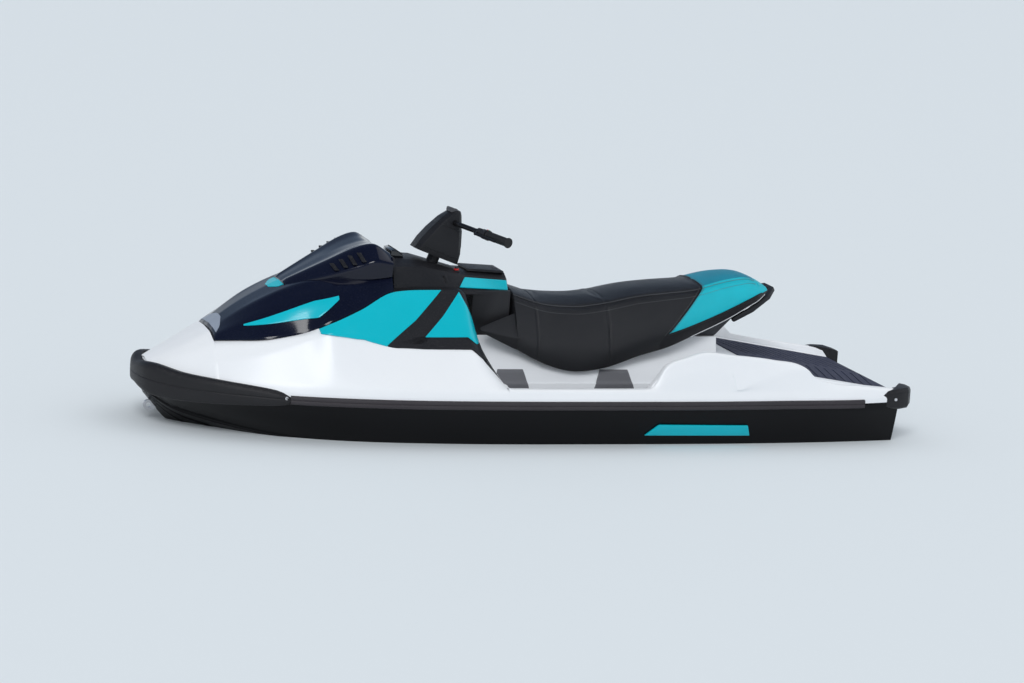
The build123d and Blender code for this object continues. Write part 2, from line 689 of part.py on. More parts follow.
# Mats
GROOVE = 9
GROOVE_DEPTH = 3
GROOVE_PITCH = 44
GROOVE_LEAN = 13
FOOTWELL_GROOVES = 20
STERN_GROOVES = 13
for name, side in SIDES:
    with BuildPart() as footwell_mat:
        middle = ((WELL_FRONT + WELL_REAR) / 2, side * (WELL_INNER + WELL_OUTER) / 2)
        with BuildSketch(Plane.XY.offset(WELL_FLOOR)):
            with Locations(middle):
                RectangleRounded(WELL_FRONT - WELL_REAR - 12, WELL_OUTER - WELL_INNER - 14, 40)
        extrude(amount=MAT)
        with BuildSketch(Plane.XY.offset(WELL_FLOOR + MAT)) as grooves:
            with Locations(middle):
                with GridLocations(GROOVE_PITCH, 0, FOOTWELL_GROOVES, 1):
                    Rectangle(GROOVE, WELL_OUTER - WELL_INNER - 60, rotation=GROOVE_LEAN * side)
        extrude(grooves.sketch, amount=-GROOVE_DEPTH, mode=Mode.SUBTRACT)
    save(footwell_mat.part, f"footwell_mat_{name}")

STERN_MAT_FRONT = -1010
STERN_MAT_REAR = -1630
STERN_MAT_HALF = 380


def platform_z(x):
    share = (PEDESTAL_REAR - x) / (PEDESTAL_REAR - DECK_END)
    return PLATFORM_FRONT_Z + (PLATFORM_REAR_Z - PLATFORM_FRONT_Z) * share


with BuildPart() as stern_mat:
    front_z = platform_z(STERN_MAT_FRONT)
    rear_z = platform_z(STERN_MAT_REAR)
    outline = profile((
        (STERN_MAT_FRONT, front_z), (STERN_MAT_FRONT, front_z + MAT), (STERN_MAT_REAR, rear_z + MAT),
        (STERN_MAT_REAR, rear_z),
    ))
    extrude(outline, amount=STERN_MAT_HALF, both=True)
    fall = Vector(STERN_MAT_REAR - STERN_MAT_FRONT, 0, rear_z - front_z)
    middle = ((STERN_MAT_FRONT + STERN_MAT_REAR) / 2, 0, (front_z + rear_z) / 2 + MAT)
    with BuildSketch(Plane(origin=middle, x_dir=fall, z_dir=(fall.Z, 0, -fall.X))) as grooves:
        for side in (1, -1):
            with Locations((0, side * STERN_MAT_HALF / 2)):
                with GridLocations(GROOVE_PITCH, 0, STERN_GROOVES, 1):
                    Rectangle(GROOVE, STERN_MAT_HALF - 50, rotation=GROOVE_LEAN * side)
    extrude(grooves.sketch, amount=-GROOVE_DEPTH, mode=Mode.SUBTRACT)
save(stern_mat.part, "stern_mat")

# Engine, one plain block on the floor of its bay
with BuildPart() as engine:
    with BuildSketch(Plane.XY.offset(BAY_FLOOR)):
        with Locations(((ENGINE_FRONT + ENGINE_REAR) / 2, 0)):
            Rectangle(ENGINE_FRONT - ENGINE_REAR, 2 * ENGINE_HALF)
    extrude(amount=ENGINE_TOP - BAY_FLOOR)
save(engine.part, "engine")

# Ride plate under the pump and the intake grate
with BuildPart() as ride_plate:
    for x in (TUNNEL_FRONT, PLATE_END):
        _, chine_y, chine_z, keel_z = row_at(BOTTOM, x)
        half = TUNNEL_HALF - TOUCH
        edge_z = keel_z + (chine_z - keel_z) * half / chine_y
        ring(x, (
            (0, keel_z), (half, edge_z), (half, edge_z + PLATE), (0, keel_z + PLATE),
            (-half, edge_z + PLATE), (-half, edge_z),
        ))
    loft(ruled=True)
save(ride_plate.part, "ride_plate")

GRATE_LOW = -198
GRATE_HIGH = -186
GRATE_FRONT = -620
GRATE_HALF = PUMP_BORE - TOUCH
BARS = 5
BAR = 7
with BuildPart() as intake_grate:
    grate_rear = INTAKE_REAR + TOUCH
    with BuildSketch(Plane.XY.offset(GRATE_LOW)):
        with Locations(((GRATE_FRONT + grate_rear) / 2, 0)):
            with GridLocations(0, (2 * GRATE_HALF - BAR) / (BARS + 1), 1, BARS + 2):
                Rectangle(GRATE_FRONT - grate_rear, BAR)
        with Locations((GRATE_FRONT - 8, 0), (grate_rear + 8, 0)):
            Rectangle(16, 2 * GRATE_HALF)
    extrude(amount=GRATE_HIGH - GRATE_LOW)
save(intake_grate.part, "intake_grate")

# Pump housing: wear ring, stator vanes on their hub, venturi, and ears for nozzle and bucket
PUMP_OUTER = PUMP_BORE + PUMP_WALL
stator_front = IMPELLER_FRONT - IMPELLER_LENGTH - 8
ear_top = NOZZLE_BELL + NOZZLE_WALL + 7
ear = 9
arm_inner = BUCKET_HALF - BUCKET_ARM
side_ear_outer = arm_inner - TIP_GAP
side_ear_inner = side_ear_outer - ear
EAR_FRONT = VENTURI_FRONT + 30
EAR_REAR = VENTURI_FRONT - 12
EAR_ROOT_RADIUS = 80
with BuildPart() as pump_housing:
    with BuildSketch(Plane.XZ):
        with BuildLine():
            Polyline(
                (TUNNEL_FRONT, PUMP_Z + PUMP_BORE), (TUNNEL_FRONT, PUMP_Z + PUMP_OUTER + 12),
                (TUNNEL_FRONT - 12, PUMP_Z + PUMP_OUTER + 12), (TUNNEL_FRONT - 12, PUMP_Z + PUMP_OUTER),
                (VENTURI_FRONT, PUMP_Z + PUMP_OUTER), (VENTURI_NECK, PUMP_Z + OUTLET + OUTLET_WALL),
                (VENTURI_END, PUMP_Z + OUTLET + OUTLET_WALL), (VENTURI_END, PUMP_Z + OUTLET),
                (VENTURI_NECK, PUMP_Z + OUTLET), (VENTURI_FRONT, PUMP_Z + PUMP_BORE), close=True,
            )
        make_face()
    pump_axis = Axis((0, 0, PUMP_Z), (1, 0, 0))
    revolve(axis=pump_axis)
    with BuildSketch(Plane.YZ.offset(stator_front)):
        with Locations((0, PUMP_Z)):
            Circle(HUB)
            with PolarLocations((HUB + PUMP_BORE) / 2, VANES):
                Rectangle(PUMP_BORE - HUB + 6, 4)
    extrude(amount=-VANE_LENGTH)
    with BuildSketch(Plane.YZ.offset(stator_front - VANE_LENGTH)):
        with Locations((0, PUMP_Z)):
            Circle(HUB)
    with BuildSketch(Plane.YZ.offset(VENTURI_NECK)):
        with Locations((0, PUMP_Z)):
            Circle(10)
    loft()
    for turn in (1, -1):
        low = PUMP_Z + turn * ear_top
        high = PUMP_Z + turn * (ear_top + ear)
        root = PUMP_Z + turn * EAR_ROOT_RADIUS
        outline = profile((
            (EAR_FRONT, root), (EAR_FRONT, high), (NOZZLE_X - 16, high), (NOZZLE_X - 16, low),
            (EAR_REAR, low), (EAR_REAR, root),
        ))
        extrude(outline, amount=13, both=True)
        rod((NOZZLE_X, 0, low), (NOZZLE_X, 0, PUMP_Z + turn * (NOZZLE_BELL + 2)), PIVOT)
        with BuildSketch(Plane.XY.offset(PUMP_Z - 14)):
            with BuildLine():
                Polyline(
                    (EAR_FRONT, turn * EAR_ROOT_RADIUS), (EAR_FRONT, turn * side_ear_outer),
                    (BUCKET_X - 14, turn * side_ear_outer), (BUCKET_X - 14, turn * side_ear_inner),
                    (EAR_REAR, turn * side_ear_inner), (EAR_REAR, turn * EAR_ROOT_RADIUS), close=True,
                )
            make_face()
        extrude(amount=28)
        pin_end = turn * (BUCKET_HALF + 3)
        rod((BUCKET_X, turn * side_ear_inner, PUMP_Z), (BUCKET_X, pin_end, PUMP_Z), PIVOT + 1)
    with BuildSketch(Plane.YZ.offset(TUNNEL_FRONT)):
        with Locations((0, PUMP_Z)):
            Circle(PUMP_BORE)
    extrude(amount=-(TUNNEL_FRONT - stator_front), mode=Mode.SUBTRACT)
save(pump_housing.part, "pump_housing")

# Steering nozzle, on two upright pins in the housing's ears
with BuildPart() as steering_nozzle:
    mouth_x = NOZZLE_X - NOZZLE_LENGTH
    bell_outer = NOZZLE_BELL + NOZZLE_WALL
    with BuildSketch(Plane.XZ):
        with BuildLine():
            Polyline(
                (NOZZLE_X, PUMP_Z + NOZZLE_BELL), (NOZZLE_X, PUMP_Z + bell_outer),
                (NOZZLE_X - NOZZLE_RIM, PUMP_Z + bell_outer),
                (mouth_x, PUMP_Z + NOZZLE_MOUTH + NOZZLE_WALL), (mouth_x, PUMP_Z + NOZZLE_MOUTH),
                (NOZZLE_X - NOZZLE_RIM, PUMP_Z + NOZZLE_BELL), close=True,
            )
        make_face()
    revolve(axis=pump_axis)
    with BuildSketch(Plane.XY.offset(PUMP_Z + NOZZLE_BELL + 1)):
        with Locations((NOZZLE_X, 0)):
            Circle(13)
    extrude(amount=ear_top - NOZZLE_BELL - 1 - 2 * TOUCH)
    with BuildSketch(Plane.XY.offset(PUMP_Z - ear_top + 2 * TOUCH)):
        with Locations((NOZZLE_X, 0)):
            Circle(13)
    extrude(amount=ear_top - NOZZLE_BELL - 1 - 2 * TOUCH)
    rod((NOZZLE_X, 0, PUMP_Z - ear_top), (NOZZLE_X, 0, PUMP_Z + ear_top), PIVOT + TOUCH, Mode.SUBTRACT)
save(steering_nozzle.part, "steering_nozzle")

# Reverse bucket: a curved shell on two arms, parked above the nozzle


def bucket_point(radius, angle):
    """A point (x, z) at a radius and angle from the bucket's pivot, above the axis and aft."""
    return (BUCKET_X - radius * cos(radians(angle)), PUMP_Z + radius * sin(radians(angle)))


with BuildPart() as reverse_bucket:
    shell = BUCKET_RADIUS + BUCKET_SHELL
    middle = (BUCKET_LOW + BUCKET_HIGH) / 2
    with BuildSketch(Plane.XZ):
        with BuildLine():
            ThreePointArc(
                bucket_point(shell, BUCKET_LOW), bucket_point(shell, middle),
                bucket_point(shell, BUCKET_HIGH),
            )
            Line(bucket_point(shell, BUCKET_HIGH), bucket_point(BUCKET_RADIUS, BUCKET_HIGH))
            ThreePointArc(
                bucket_point(BUCKET_RADIUS, BUCKET_HIGH), bucket_point(BUCKET_RADIUS, middle),
                bucket_point(BUCKET_RADIUS, BUCKET_LOW),
            )
            Line(bucket_point(BUCKET_RADIUS, BUCKET_LOW), bucket_point(shell, BUCKET_LOW))
        make_face()
    extrude(amount=BUCKET_HALF, both=True)
    for turn in (1, -1):
        with BuildSketch(Plane.XZ.offset(-turn * (BUCKET_HALF - BUCKET_ARM / 2))):
            with BuildLine():
                Polyline(
                    bucket_point(24, BUCKET_LOW - 60), bucket_point(shell - 2, BUCKET_LOW + 1),
                    bucket_point(shell - 3, middle), bucket_point(shell - 2, BUCKET_HIGH - 1),
                    bucket_point(24, BUCKET_HIGH + 60), close=True,
                )
            make_face()
            with Locations((BUCKET_X, PUMP_Z)):
                Circle(20)
        extrude(amount=BUCKET_ARM / 2, both=True)
    pin_end = BUCKET_HALF + 1
    rod((BUCKET_X, -pin_end, PUMP_Z), (BUCKET_X, pin_end, PUMP_Z), PIVOT + 1 + TOUCH, Mode.SUBTRACT)
save(reverse_bucket.part, "reverse_bucket")

# Impeller with its shaft
BLADE_ROOT_ANGLE = 35
BLADE_TIP_ANGLE = 58
with BuildPart() as impeller:
    blade_x = IMPELLER_FRONT - IMPELLER_LENGTH / 2
    for index in range(BLADES):
        angle = radians(360 / BLADES * index)
        way = (0, cos(angle), sin(angle))
        for radius, pitch, thick in ((HUB - 8, BLADE_ROOT_ANGLE, 8), (PUMP_BORE + 6, BLADE_TIP_ANGLE, 4)):
            place = (blade_x, way[1] * radius, PUMP_Z + way[2] * radius)
            with BuildSketch(Plane(origin=place, x_dir=(1, 0, 0), z_dir=way)):
                Rectangle((IMPELLER_LENGTH - 10) / cos(radians(pitch)), thick, rotation=pitch)
        loft(ruled=True)
    with BuildSketch(Plane.YZ.offset(IMPELLER_FRONT - IMPELLER_LENGTH)):
        with Locations((0, PUMP_Z)):
            Circle(PUMP_BORE - TIP_GAP)
    extrude(amount=IMPELLER_LENGTH, mode=Mode.INTERSECT)
    rod((IMPELLER_FRONT + 8, 0, PUMP_Z), (IMPELLER_FRONT - IMPELLER_LENGTH, 0, PUMP_Z), HUB)
    rod((ENGINE_REAR - TOUCH, 0, PUMP_Z), (IMPELLER_FRONT, 0, PUMP_Z), SHAFT)
save(impeller.part, "impeller")

# Steering column, handlebar, cover, grips and levers
BAR_RADIUS = 11
BAR_CENTRE = (330, 0, 862)
BAR_BEND = (322, 118, 866)
BAR_END = (196, 400, 838)
GRIP_RADIUS = 17
GRIP_LENGTH = 128
COVER_OFFSET = 12


def along_bar(side, share, forward=0.0):
    """A point on the outer stretch of the handlebar, with a shift towards the bow."""
    point = [a + (b - a) * share for a, b in zip(BAR_BEND, BAR_END)]
    return (point[0] + forward, side * point[1], point[2])


bar_length = hypot(*[b - a for a, b in zip(BAR_BEND, BAR_END)])
with BuildPart() as steering_column:
    rod(on_column(-COLUMN_DEPTH), on_column(COVER_OFFSET), COLUMN_RADIUS)
save(steering_column.part, "steering_column")

with BuildPart() as handlebar:
    for name, side in SIDES:
        bend = (BAR_BEND[0], side * BAR_BEND[1], BAR_BEND[2])
        rod(BAR_CENTRE, bend, BAR_RADIUS)
        with Locations(bend):
            Sphere(BAR_RADIUS)
        rod(bend, along_bar(side, 1), BAR_RADIUS)
save(handlebar.part, "handlebar")

# Cover: distance along the column, reach ahead, reach behind, half width, corner
COVER = (
    (COVER_OFFSET, 108, 98, 60, 16), (60, 96, 91, 65, 18), (112, 76, 74, 64, 18), (172, 46, 52, 56, 16),
    (214, 16, 36, 44, 13), (228, -2, 28, 34, 9),
)
cover_way = (COLUMN_AXIS[2], 0, -COLUMN_AXIS[0])
with BuildPart() as handlebar_cover:
    for distance, ahead, behind, half, corner in COVER:
        with BuildSketch(Plane(origin=on_column(distance), x_dir=cover_way, z_dir=COLUMN_AXIS)):
            with BuildLine():
                half_line = ((ahead, half - corner * 1.6), (ahead - corner, half), (corner - behind, half),
                             (-behind, half - corner))
                Polyline(*half_line, *[(u, -v) for u, v in reversed(half_line)], close=True)
            make_face()
    loft(ruled=True)
    for name, side in SIDES:
        rod(BAR_CENTRE, (BAR_BEND[0], side * BAR_BEND[1], BAR_BEND[2]), BAR_RADIUS + TOUCH, Mode.SUBTRACT)
save(handlebar_cover.part, "handlebar_cover")

GRIP_FLANGE = 5
for name, side in SIDES:
    with BuildPart() as grip:
        grip_start = along_bar(side, 1 - GRIP_LENGTH / bar_length)
        rod(grip_start, along_bar(side, 1.02), GRIP_RADIUS)
        for share in (1 - GRIP_LENGTH / bar_length, 1.0):
            rod(along_bar(side, share), along_bar(side, share + 0.02), GRIP_RADIUS + GRIP_FLANGE)
        rod(grip_start, along_bar(side, 1.0), BAR_RADIUS + TOUCH, Mode.SUBTRACT)
    save(grip.part, f"grip_{name}")

for name, side in (("brake_lever", 1), ("throttle_lever", -1)):
    with BuildPart() as lever:
        rod(along_bar(side, 0.38), along_bar(side, 0.46), GRIP_RADIUS)
        rod(along_bar(side, 0.42, GRIP_RADIUS - 4), along_bar(side, 0.5, 40), 6)
        rod(along_bar(side, 0.5, 40), along_bar(side, 0.93, 44), 5)
        with Locations(along_bar(side, 0.5, 40)):
            Sphere(6)
        rod(along_bar(side, 0.3), along_bar(side, 0.6), BAR_RADIUS + TOUCH, Mode.SUBTRACT)
    save(lever.part, name)

# Eyes for a mooring line at the bow and for lashing at the stern
EYE_HOLE = 10
EYE = 22
EYE_HALF = 6
BOW_EYE = (1614, 60)
with BuildPart() as bow_eye:
    outline = profile((
        (BOW_EYE[0] - 2, BOW_EYE[1] + EYE - 1), (BOW_EYE[0] - 22, BOW_EYE[1] + EYE + 2),
        (BOW_EYE[0] - 42, BOW_EYE[1] - 5), (BOW_EYE[0] - 24, BOW_EYE[1] - EYE),
        (BOW_EYE[0], BOW_EYE[1] - EYE + 0.5),
    ))
    extrude(outline, amount=EYE_HALF, both=True)
    with BuildSketch(Plane.XZ):
        with Locations(BOW_EYE):
            Circle(EYE)
    extrude(amount=EYE_HALF, both=True)
    with BuildSketch(Plane.XZ):
        with Locations(BOW_EYE):
            Circle(EYE_HOLE)
    extrude(amount=EYE_HALF, both=True, mode=Mode.SUBTRACT)
    add(hull_form.part, mode=Mode.SUBTRACT)
save(bow_eye.part, "bow_eye")

STERN_EYE = (-1620, 60)
STERN_EYE_Y = 300
for name, side in SIDES:
    with BuildPart() as stern_eye:
        with BuildSketch(Plane.XZ.offset(-side * STERN_EYE_Y)):
            with Locations(STERN_EYE):
                Circle(EYE)
            with Locations((HULL_END - 6, STERN_EYE[1])):
                Rectangle(12, 2 * EYE)
            with Locations(STERN_EYE):
                Circle(EYE_HOLE, mode=Mode.SUBTRACT)
        extrude(amount=EYE_HALF, both=True)
        add(hull_form.part, mode=Mode.SUBTRACT)
    save(stern_eye.part, f"stern_eye_{name}")
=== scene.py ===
import json
from functools import lru_cache
from math import copysign, cos, exp, pi, radians, sin

import bpy
from bpy.props import FloatProperty, FloatVectorProperty, PointerProperty
from mathutils import Matrix, Vector
from mathutils.bvhtree import BVHTree


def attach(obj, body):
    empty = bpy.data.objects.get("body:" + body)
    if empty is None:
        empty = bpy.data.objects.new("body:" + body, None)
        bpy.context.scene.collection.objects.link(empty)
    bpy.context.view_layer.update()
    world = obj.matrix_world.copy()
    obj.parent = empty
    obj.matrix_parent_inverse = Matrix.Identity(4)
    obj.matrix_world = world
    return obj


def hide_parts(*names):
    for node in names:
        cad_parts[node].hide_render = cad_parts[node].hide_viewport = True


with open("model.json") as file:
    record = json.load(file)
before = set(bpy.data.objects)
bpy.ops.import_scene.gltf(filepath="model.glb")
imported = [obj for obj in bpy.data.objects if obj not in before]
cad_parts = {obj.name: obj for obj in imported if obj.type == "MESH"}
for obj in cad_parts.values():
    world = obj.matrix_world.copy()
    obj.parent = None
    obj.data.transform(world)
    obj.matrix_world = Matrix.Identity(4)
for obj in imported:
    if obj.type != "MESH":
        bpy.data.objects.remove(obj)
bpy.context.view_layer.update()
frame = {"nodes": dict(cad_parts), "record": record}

bl_info = {
    "name": "Personal watercraft",
    "version": (1, 0, 0),
    "blender": (4, 5, 0),
    "location": "View3D > Sidebar > Watercraft",
    "description": "Dresses a jet-driven watercraft with its skins, seat, fittings and finishes",
    "category": "Object",
}

# All tables are in millimetres, in the craft's own frame: +X bow, +Y port, +Z up, waterline at 0.
MM = 0.001
BOND_Z = 180            # joint of hull and deck
LAND = 25               # height of the upright strip on either side of it
GUNWALE = 240
GUNWALE_TURN = 14       # how far the gunwale turns inboard of the joint
WELL_SIDE = 497         # half breadth of the footwells' outer walls
HULL_END = -1600
DECK_END = -1640
BOW_END = 1640

# x, half breadth at the joint of hull and deck
PLAN = (
    (BOW_END, 135), (1540, 235), (1400, 345), (1200, 448), (930, 528), (450, 588),
    (-250, 600), (-1000, 580), (HULL_END, 508), (DECK_END, 470),
)
# x, chine half breadth, chine height, keel height
BOTTOM = (
    (BOW_END, 60, 132, 118), (1540, 110, 75, 5), (1400, 190, 40, -85), (1200, 310, 10, -160),
    (930, 415, -15, -200), (450, 480, -38, -214), (-250, 498, -48, -215), (-1000, 490, -50, -215),
    (HULL_END, 440, -50, -215),
)
# x, gunwale height, cheek half breadth and height, shoulder half breadth and height
NOSE = (
    (BOW_END, 232, 95, 248, 55, 260), (1540, 240, 160, 290, 90, 312), (1420, 240, 215, 346, 115, 380),
    (1390, 240, 228, 361, 120, 396),
)
FLANK = (
    (1390, 240, 228, 361, 120, 367), (1200, 240, 312, 394, 200, 398), (1030, 240, 360, 428, 335, 432),
    (930, 240, 400, 450, 360, 478), (800, 240, 405, 432, 325, 530), (640, 240, 410, 397, 262, 598),
    (450, 240, 412, 392, 248, 606), (330, 240, 410, 386, 238, 600), (262, 240, 440, 318, 225, 420),
    (206, 240, 475, 256, 193, 318),
)
# x, share of the way from gunwale to cheek, how far the crease stands out
CREASE = (
    (BOW_END, 0.40, 0), (1540, 0.42, 4), (1420, 0.46, 8), (1200, 0.70, 13), (1030, 0.90, 8),
    (900, 0.95, 3), (640, 0.95, 2), (206, 0.95, 0),
)
# x, top height of the side deck
SIDE_TOPS = (
    (206, 248), (190, 244), (-250, 244), (-420, 246), (-500, 340), (-590, 374), (-690, 397), (-790, 386),
    (-1000, 362), (-1150, 328), (-1190, 290), (-1450, 247), (HULL_END, 230), (DECK_END, 222),
)
# x, edge half breadth, side half breadth and height, crown half breadth and height, top
HOOD = (
    (1384, 176, 150, 392, 80, 400, 402), (1320, 222, 190, 424, 100, 450, 456),
    (1200, 306, 236, 478, 130, 528, 536), (1030, 329, 258, 548, 150, 606, 616),
    (930, 356, 265, 588, 160, 632, 642), (800, 322, 258, 622, 160, 660, 668),
    (642, 262, 236, 652, 150, 684, 692),
)
# x, base half breadth and height, shoulder half breadth and height, top of the console
CONSOLE = (
    (622, 205, 580, 165, 690, 714), (490, 200, 580, 150, 690, 710), (300, 186, 580, 112, 650, 662),
    (95, 142, 572, 98, 632, 652),
)
# x, half breadth, side height, top half breadth, top
COWL = (
    (1070, 100, 600, 70, 614), (904, 190, 660, 120, 706), (780, 235, 706, 150, 772),
    (716, 250, 730, 165, 788), (644, 250, 722, 180, 752),
)
# x, foot half breadth and height, belly half breadth and height, shoulder half breadth and height, crown
SEAT = (
    (83, 232, 352, 245, 400, 150, 576, 596), (-60, 250, 285, 262, 350, 166, 536, 557),
    (-200, 252, 255, 266, 320, 170, 528, 548), (-340, 250, 275, 264, 345, 170, 545, 562),
    (-480, 242, 322, 257, 390, 170, 574, 592), (-620, 228, 360, 245, 425, 166, 590, 606),
    (-750, 214, 415, 230, 468, 158, 604, 616), (-900, 192, 480, 208, 528, 145, 640, 652),
    (-1000, 172, 530, 186, 568, 122, 650, 660), (-1050, 160, 556, 170, 588, 105, 636, 644),
    (-1110, 116, 592, 124, 600, 66, 612, 616),
)
# Strakes under the hull: where each starts, how wide it is and how far it runs back up from its
# lowest edge, as shares of the chine's half breadth
STRAKES = (0.42, 0.70)
STRAKE_WIDTH, STRAKE_BACK = 0.07, 0.01
# Forms that grow on the way aft: where they start, the length they grow over, their full size
STRAKE_DEPTH = (BOW_END + 60, 500, 12)
SPRAY_RAIL = (1560, 200, 7)
TOPSIDE_SWELL = (BOW_END, 300, 6)
HOOD_RIDGE = (1350, 150, 5)
COWL_SCOOP = (900, 120, 10)
HULL_RADII = (2, 2, 2, 2, 2, 2, 4, 5, 60, 12)
HULL_RUNS = (5, 1, 1, 3, 1, 1, 4, 1, 5, 6, 2)
# The hull's skin leaves the pump tunnel open: front of the tunnel, half breadth, how fast it widens
TUNNEL = (-300, 170, 0.85)
# Centre line of the bow bumper's outer face: x, y, bottom, top
BUMPER = (
    (1110, 488, 158, 202), (1200, 468, 150, 222), (1400, 375, 138, 240), (1540, 270, 130, 250),
    (BOW_END, 172, 134, 268), (1676, 100, 146, 266), (1688, 0, 158, 256),
)


def fair(table, x):
    """The row of a station table at x, on a smooth curve that doesn't overshoot its stations."""
    rows = sorted(table)
    x = min(max(x, rows[0][0]), rows[-1][0])
    here = max(i for i in range(len(rows) - 1) if rows[i][0] <= x)
    span = rows[here + 1][0] - rows[here][0]
    t = (x - rows[here][0]) / span
    result = [x]
    for column in range(1, len(rows[0])):
        slopes = []
        for i in (here, here + 1):
            steps = [
                (rows[j + 1][column] - rows[j][column]) / (rows[j + 1][0] - rows[j][0])
                for j in (i - 1, i) if 0 <= j < len(rows) - 1
            ]
            slope = sum(steps) / len(steps)
            if len(steps) == 2 and steps[0] * steps[1] <= 0:
                slope = 0.0
            limit = 3 * min(abs(s) for s in steps)
            slopes.append(max(-limit, min(limit, slope)))
        start, end = rows[here][column], rows[here + 1][column]
        value = (
            (2 * t ** 3 - 3 * t ** 2 + 1) * start + (t ** 3 - 2 * t ** 2 + t) * span * slopes[0]
            + (3 * t ** 2 - 2 * t ** 3) * end + (t ** 3 - t ** 2) * span * slopes[1]
        )
        result.append(value)
    return result


def straight(table, x):
    """The row of a station table at x, by straight lines between stations."""
    rows = sorted(table)
    x = min(max(x, rows[0][0]), rows[-1][0])
    for low, high in zip(rows, rows[1:]):
        if low[0] <= x <= high[0]:
            share = (x - low[0]) / (high[0] - low[0])
            return [a + (b - a) * share for a, b in zip(low, high)]


def breadth(x):
    """Half breadth at the joint of hull and deck."""
    return fair(PLAN, x)[1]


def spread(start, end, count):
    """Evenly spaced values from start to end."""
    return [start + (end - start) * i / (count - 1) for i in range(count)]


def grown(x, start, length, size):
    """Size at x of a form that grows on the way aft."""
    return size * max(0.0, min(1.0, (start - x) / length))


def eased(points, radii, runs, arc=4):
    """A section line with eased inner corners. runs gives the steps of each straight run."""
    points = [Vector(p) for p in points]
    corners = []
    for before, corner, after, radius in zip(points, points[1:], points[2:], radii):
        back, on = before - corner, after - corner
        reach = min(radius, 0.45 * back.length, 0.45 * on.length)
        corners.append((corner + back.normalized() * reach, corner, corner + on.normalized() * reach))
    line, at = [], points[0]
    for i, steps in enumerate(runs):
        to = corners[i][0] if i < len(corners) else points[-1]
        line += [at.lerp(to, k / steps) for k in range(steps)]
        if i < len(corners):
            first, corner, last = corners[i]
            line += [
                first * (1 - t) ** 2 + corner * 2 * t * (1 - t) + last * t ** 2
                for t in (k / arc for k in range(arc))
            ]
            at = last
    return line + [points[-1]]


def both_halves(x, half):
    """A row across the craft from the half section on its port side, which ends in the middle."""
    return [(x, y, z) for y, z in half] + [(x, -y, z) for y, z in reversed(half[:-1])]


def settle():
    """Back to object mode with nothing selected."""
    if bpy.context.object and bpy.context.object.mode != "OBJECT":
        bpy.ops.object.mode_set(mode="OBJECT")
    bpy.ops.object.select_all(action="DESELECT")


def pick(obj):
    """Selects one object alone and makes it active."""
    settle()
    obj.select_set(True)
    bpy.context.view_layer.objects.active = obj


def named(name):
    """The object an operator has just added, under its own name."""
    obj = bpy.context.object
    obj.name = obj.data.name = name
    return obj


def grid_piece(name, rows):
    """A grid primitive whose points are pulled to the given rows, in millimetres."""
    settle()
    bpy.ops.mesh.primitive_grid_add(x_subdivisions=len(rows[0]) - 1, y_subdivisions=len(rows) - 1, size=1)
    obj = named(name)
    places = [place for row in rows for place in row]
    for vertex, place in zip(obj.data.vertices, places):
        vertex.co = Vector(place) * MM
    return obj


def close_up(obj, fill=True):
    """Merges doubled points, fills open ends and turns the faces outwards."""
    pick(obj)
    bpy.ops.object.mode_set(mode="EDIT")
    bpy.ops.mesh.select_all(action="SELECT")
    bpy.ops.mesh.remove_doubles(threshold=0.00005)
    if fill:
        bpy.ops.mesh.fill_holes(sides=0)
        bpy.ops.mesh.select_all(action="SELECT")
    bpy.ops.mesh.normals_make_consistent(inside=False)
    bpy.ops.object.mode_set(mode="OBJECT")
    return obj


def look_away(obj, x=0.0, y=0.0, z=0.0):
    """Turns an open skin so that its faces look away from a point, in metres."""
    centre = Vector((x, y, z))
    if sum((face.center - centre).dot(face.normal) * face.area for face in obj.data.polygons) < 0:
        obj.data.flip_normals()
    return obj


def apply_all(obj):
    """Applies an object's modifiers in their order."""
    pick(obj)
    for modifier in list(obj.modifiers):
        bpy.ops.object.modifier_apply(modifier=modifier.name)
    return obj


def thicken(obj, wall):
    """Gives a skin its wall, towards the inside, in millimetres."""
    shell = obj.modifiers.new("wall", "SOLIDIFY")
    shell.thickness = wall * MM
    shell.offset = -1
    return apply_all(obj)


def ease_edges(obj, width, segments, angle=35):
    """Rounds the edges that are sharper than an angle, by a width in millimetres."""
    bevel = obj.modifiers.new("eased edges", "BEVEL")
    bevel.width = width * MM
    bevel.segments = segments
    bevel.limit_method = "ANGLE"
    bevel.angle_limit = radians(angle)
    return apply_all(obj)


def subdivide(obj):
    """Smooths a mesh by one step of subdivision."""
    surface = obj.modifiers.new("smooth", "SUBSURF")
    surface.levels = surface.render_levels = 1
    return apply_all(obj)


def mirrored(obj, name):
    """A copy of a port piece for the starboard side, with its own mesh."""
    copy = obj.copy()
    copy.data = obj.data.copy()
    copy.name = copy.data.name = name
    bpy.context.scene.collection.objects.link(copy)
    copy.data.transform(Matrix.Scale(-1, 4, (0, 1, 0)))
    copy.data.flip_normals()
    return copy


def dress(obj, body, finish, replaces=(), angle=40):
    """Gives a piece its finish, or list of finishes, and smooth shading, and lets it ride on its body."""
    kinds = [finish] if isinstance(finish, str) else finish
    places = [face.material_index for face in obj.data.polygons]
    obj.data.materials.clear()
    for kind in kinds:
        obj.data.materials.append(bpy.data.materials[kind])
    for face, place in zip(obj.data.polygons, places):
        face.material_index = min(place, len(kinds) - 1)
    pick(obj)
    bpy.ops.object.shade_smooth_by_angle(angle=radians(angle))
    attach(obj, body)
    if replaces:
        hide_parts(*replaces)


def pair(obj, stem, body, finish, replaces=(), angle=40):
    """Dresses a port piece and its starboard copy; a replaced stem gets the side's name."""
    other = mirrored(obj, f"{stem}_starboard")
    for piece, name in ((obj, "port"), (other, "starboard")):
        dress(piece, body, finish, [f"{node}_{name}" for node in replaces], angle)


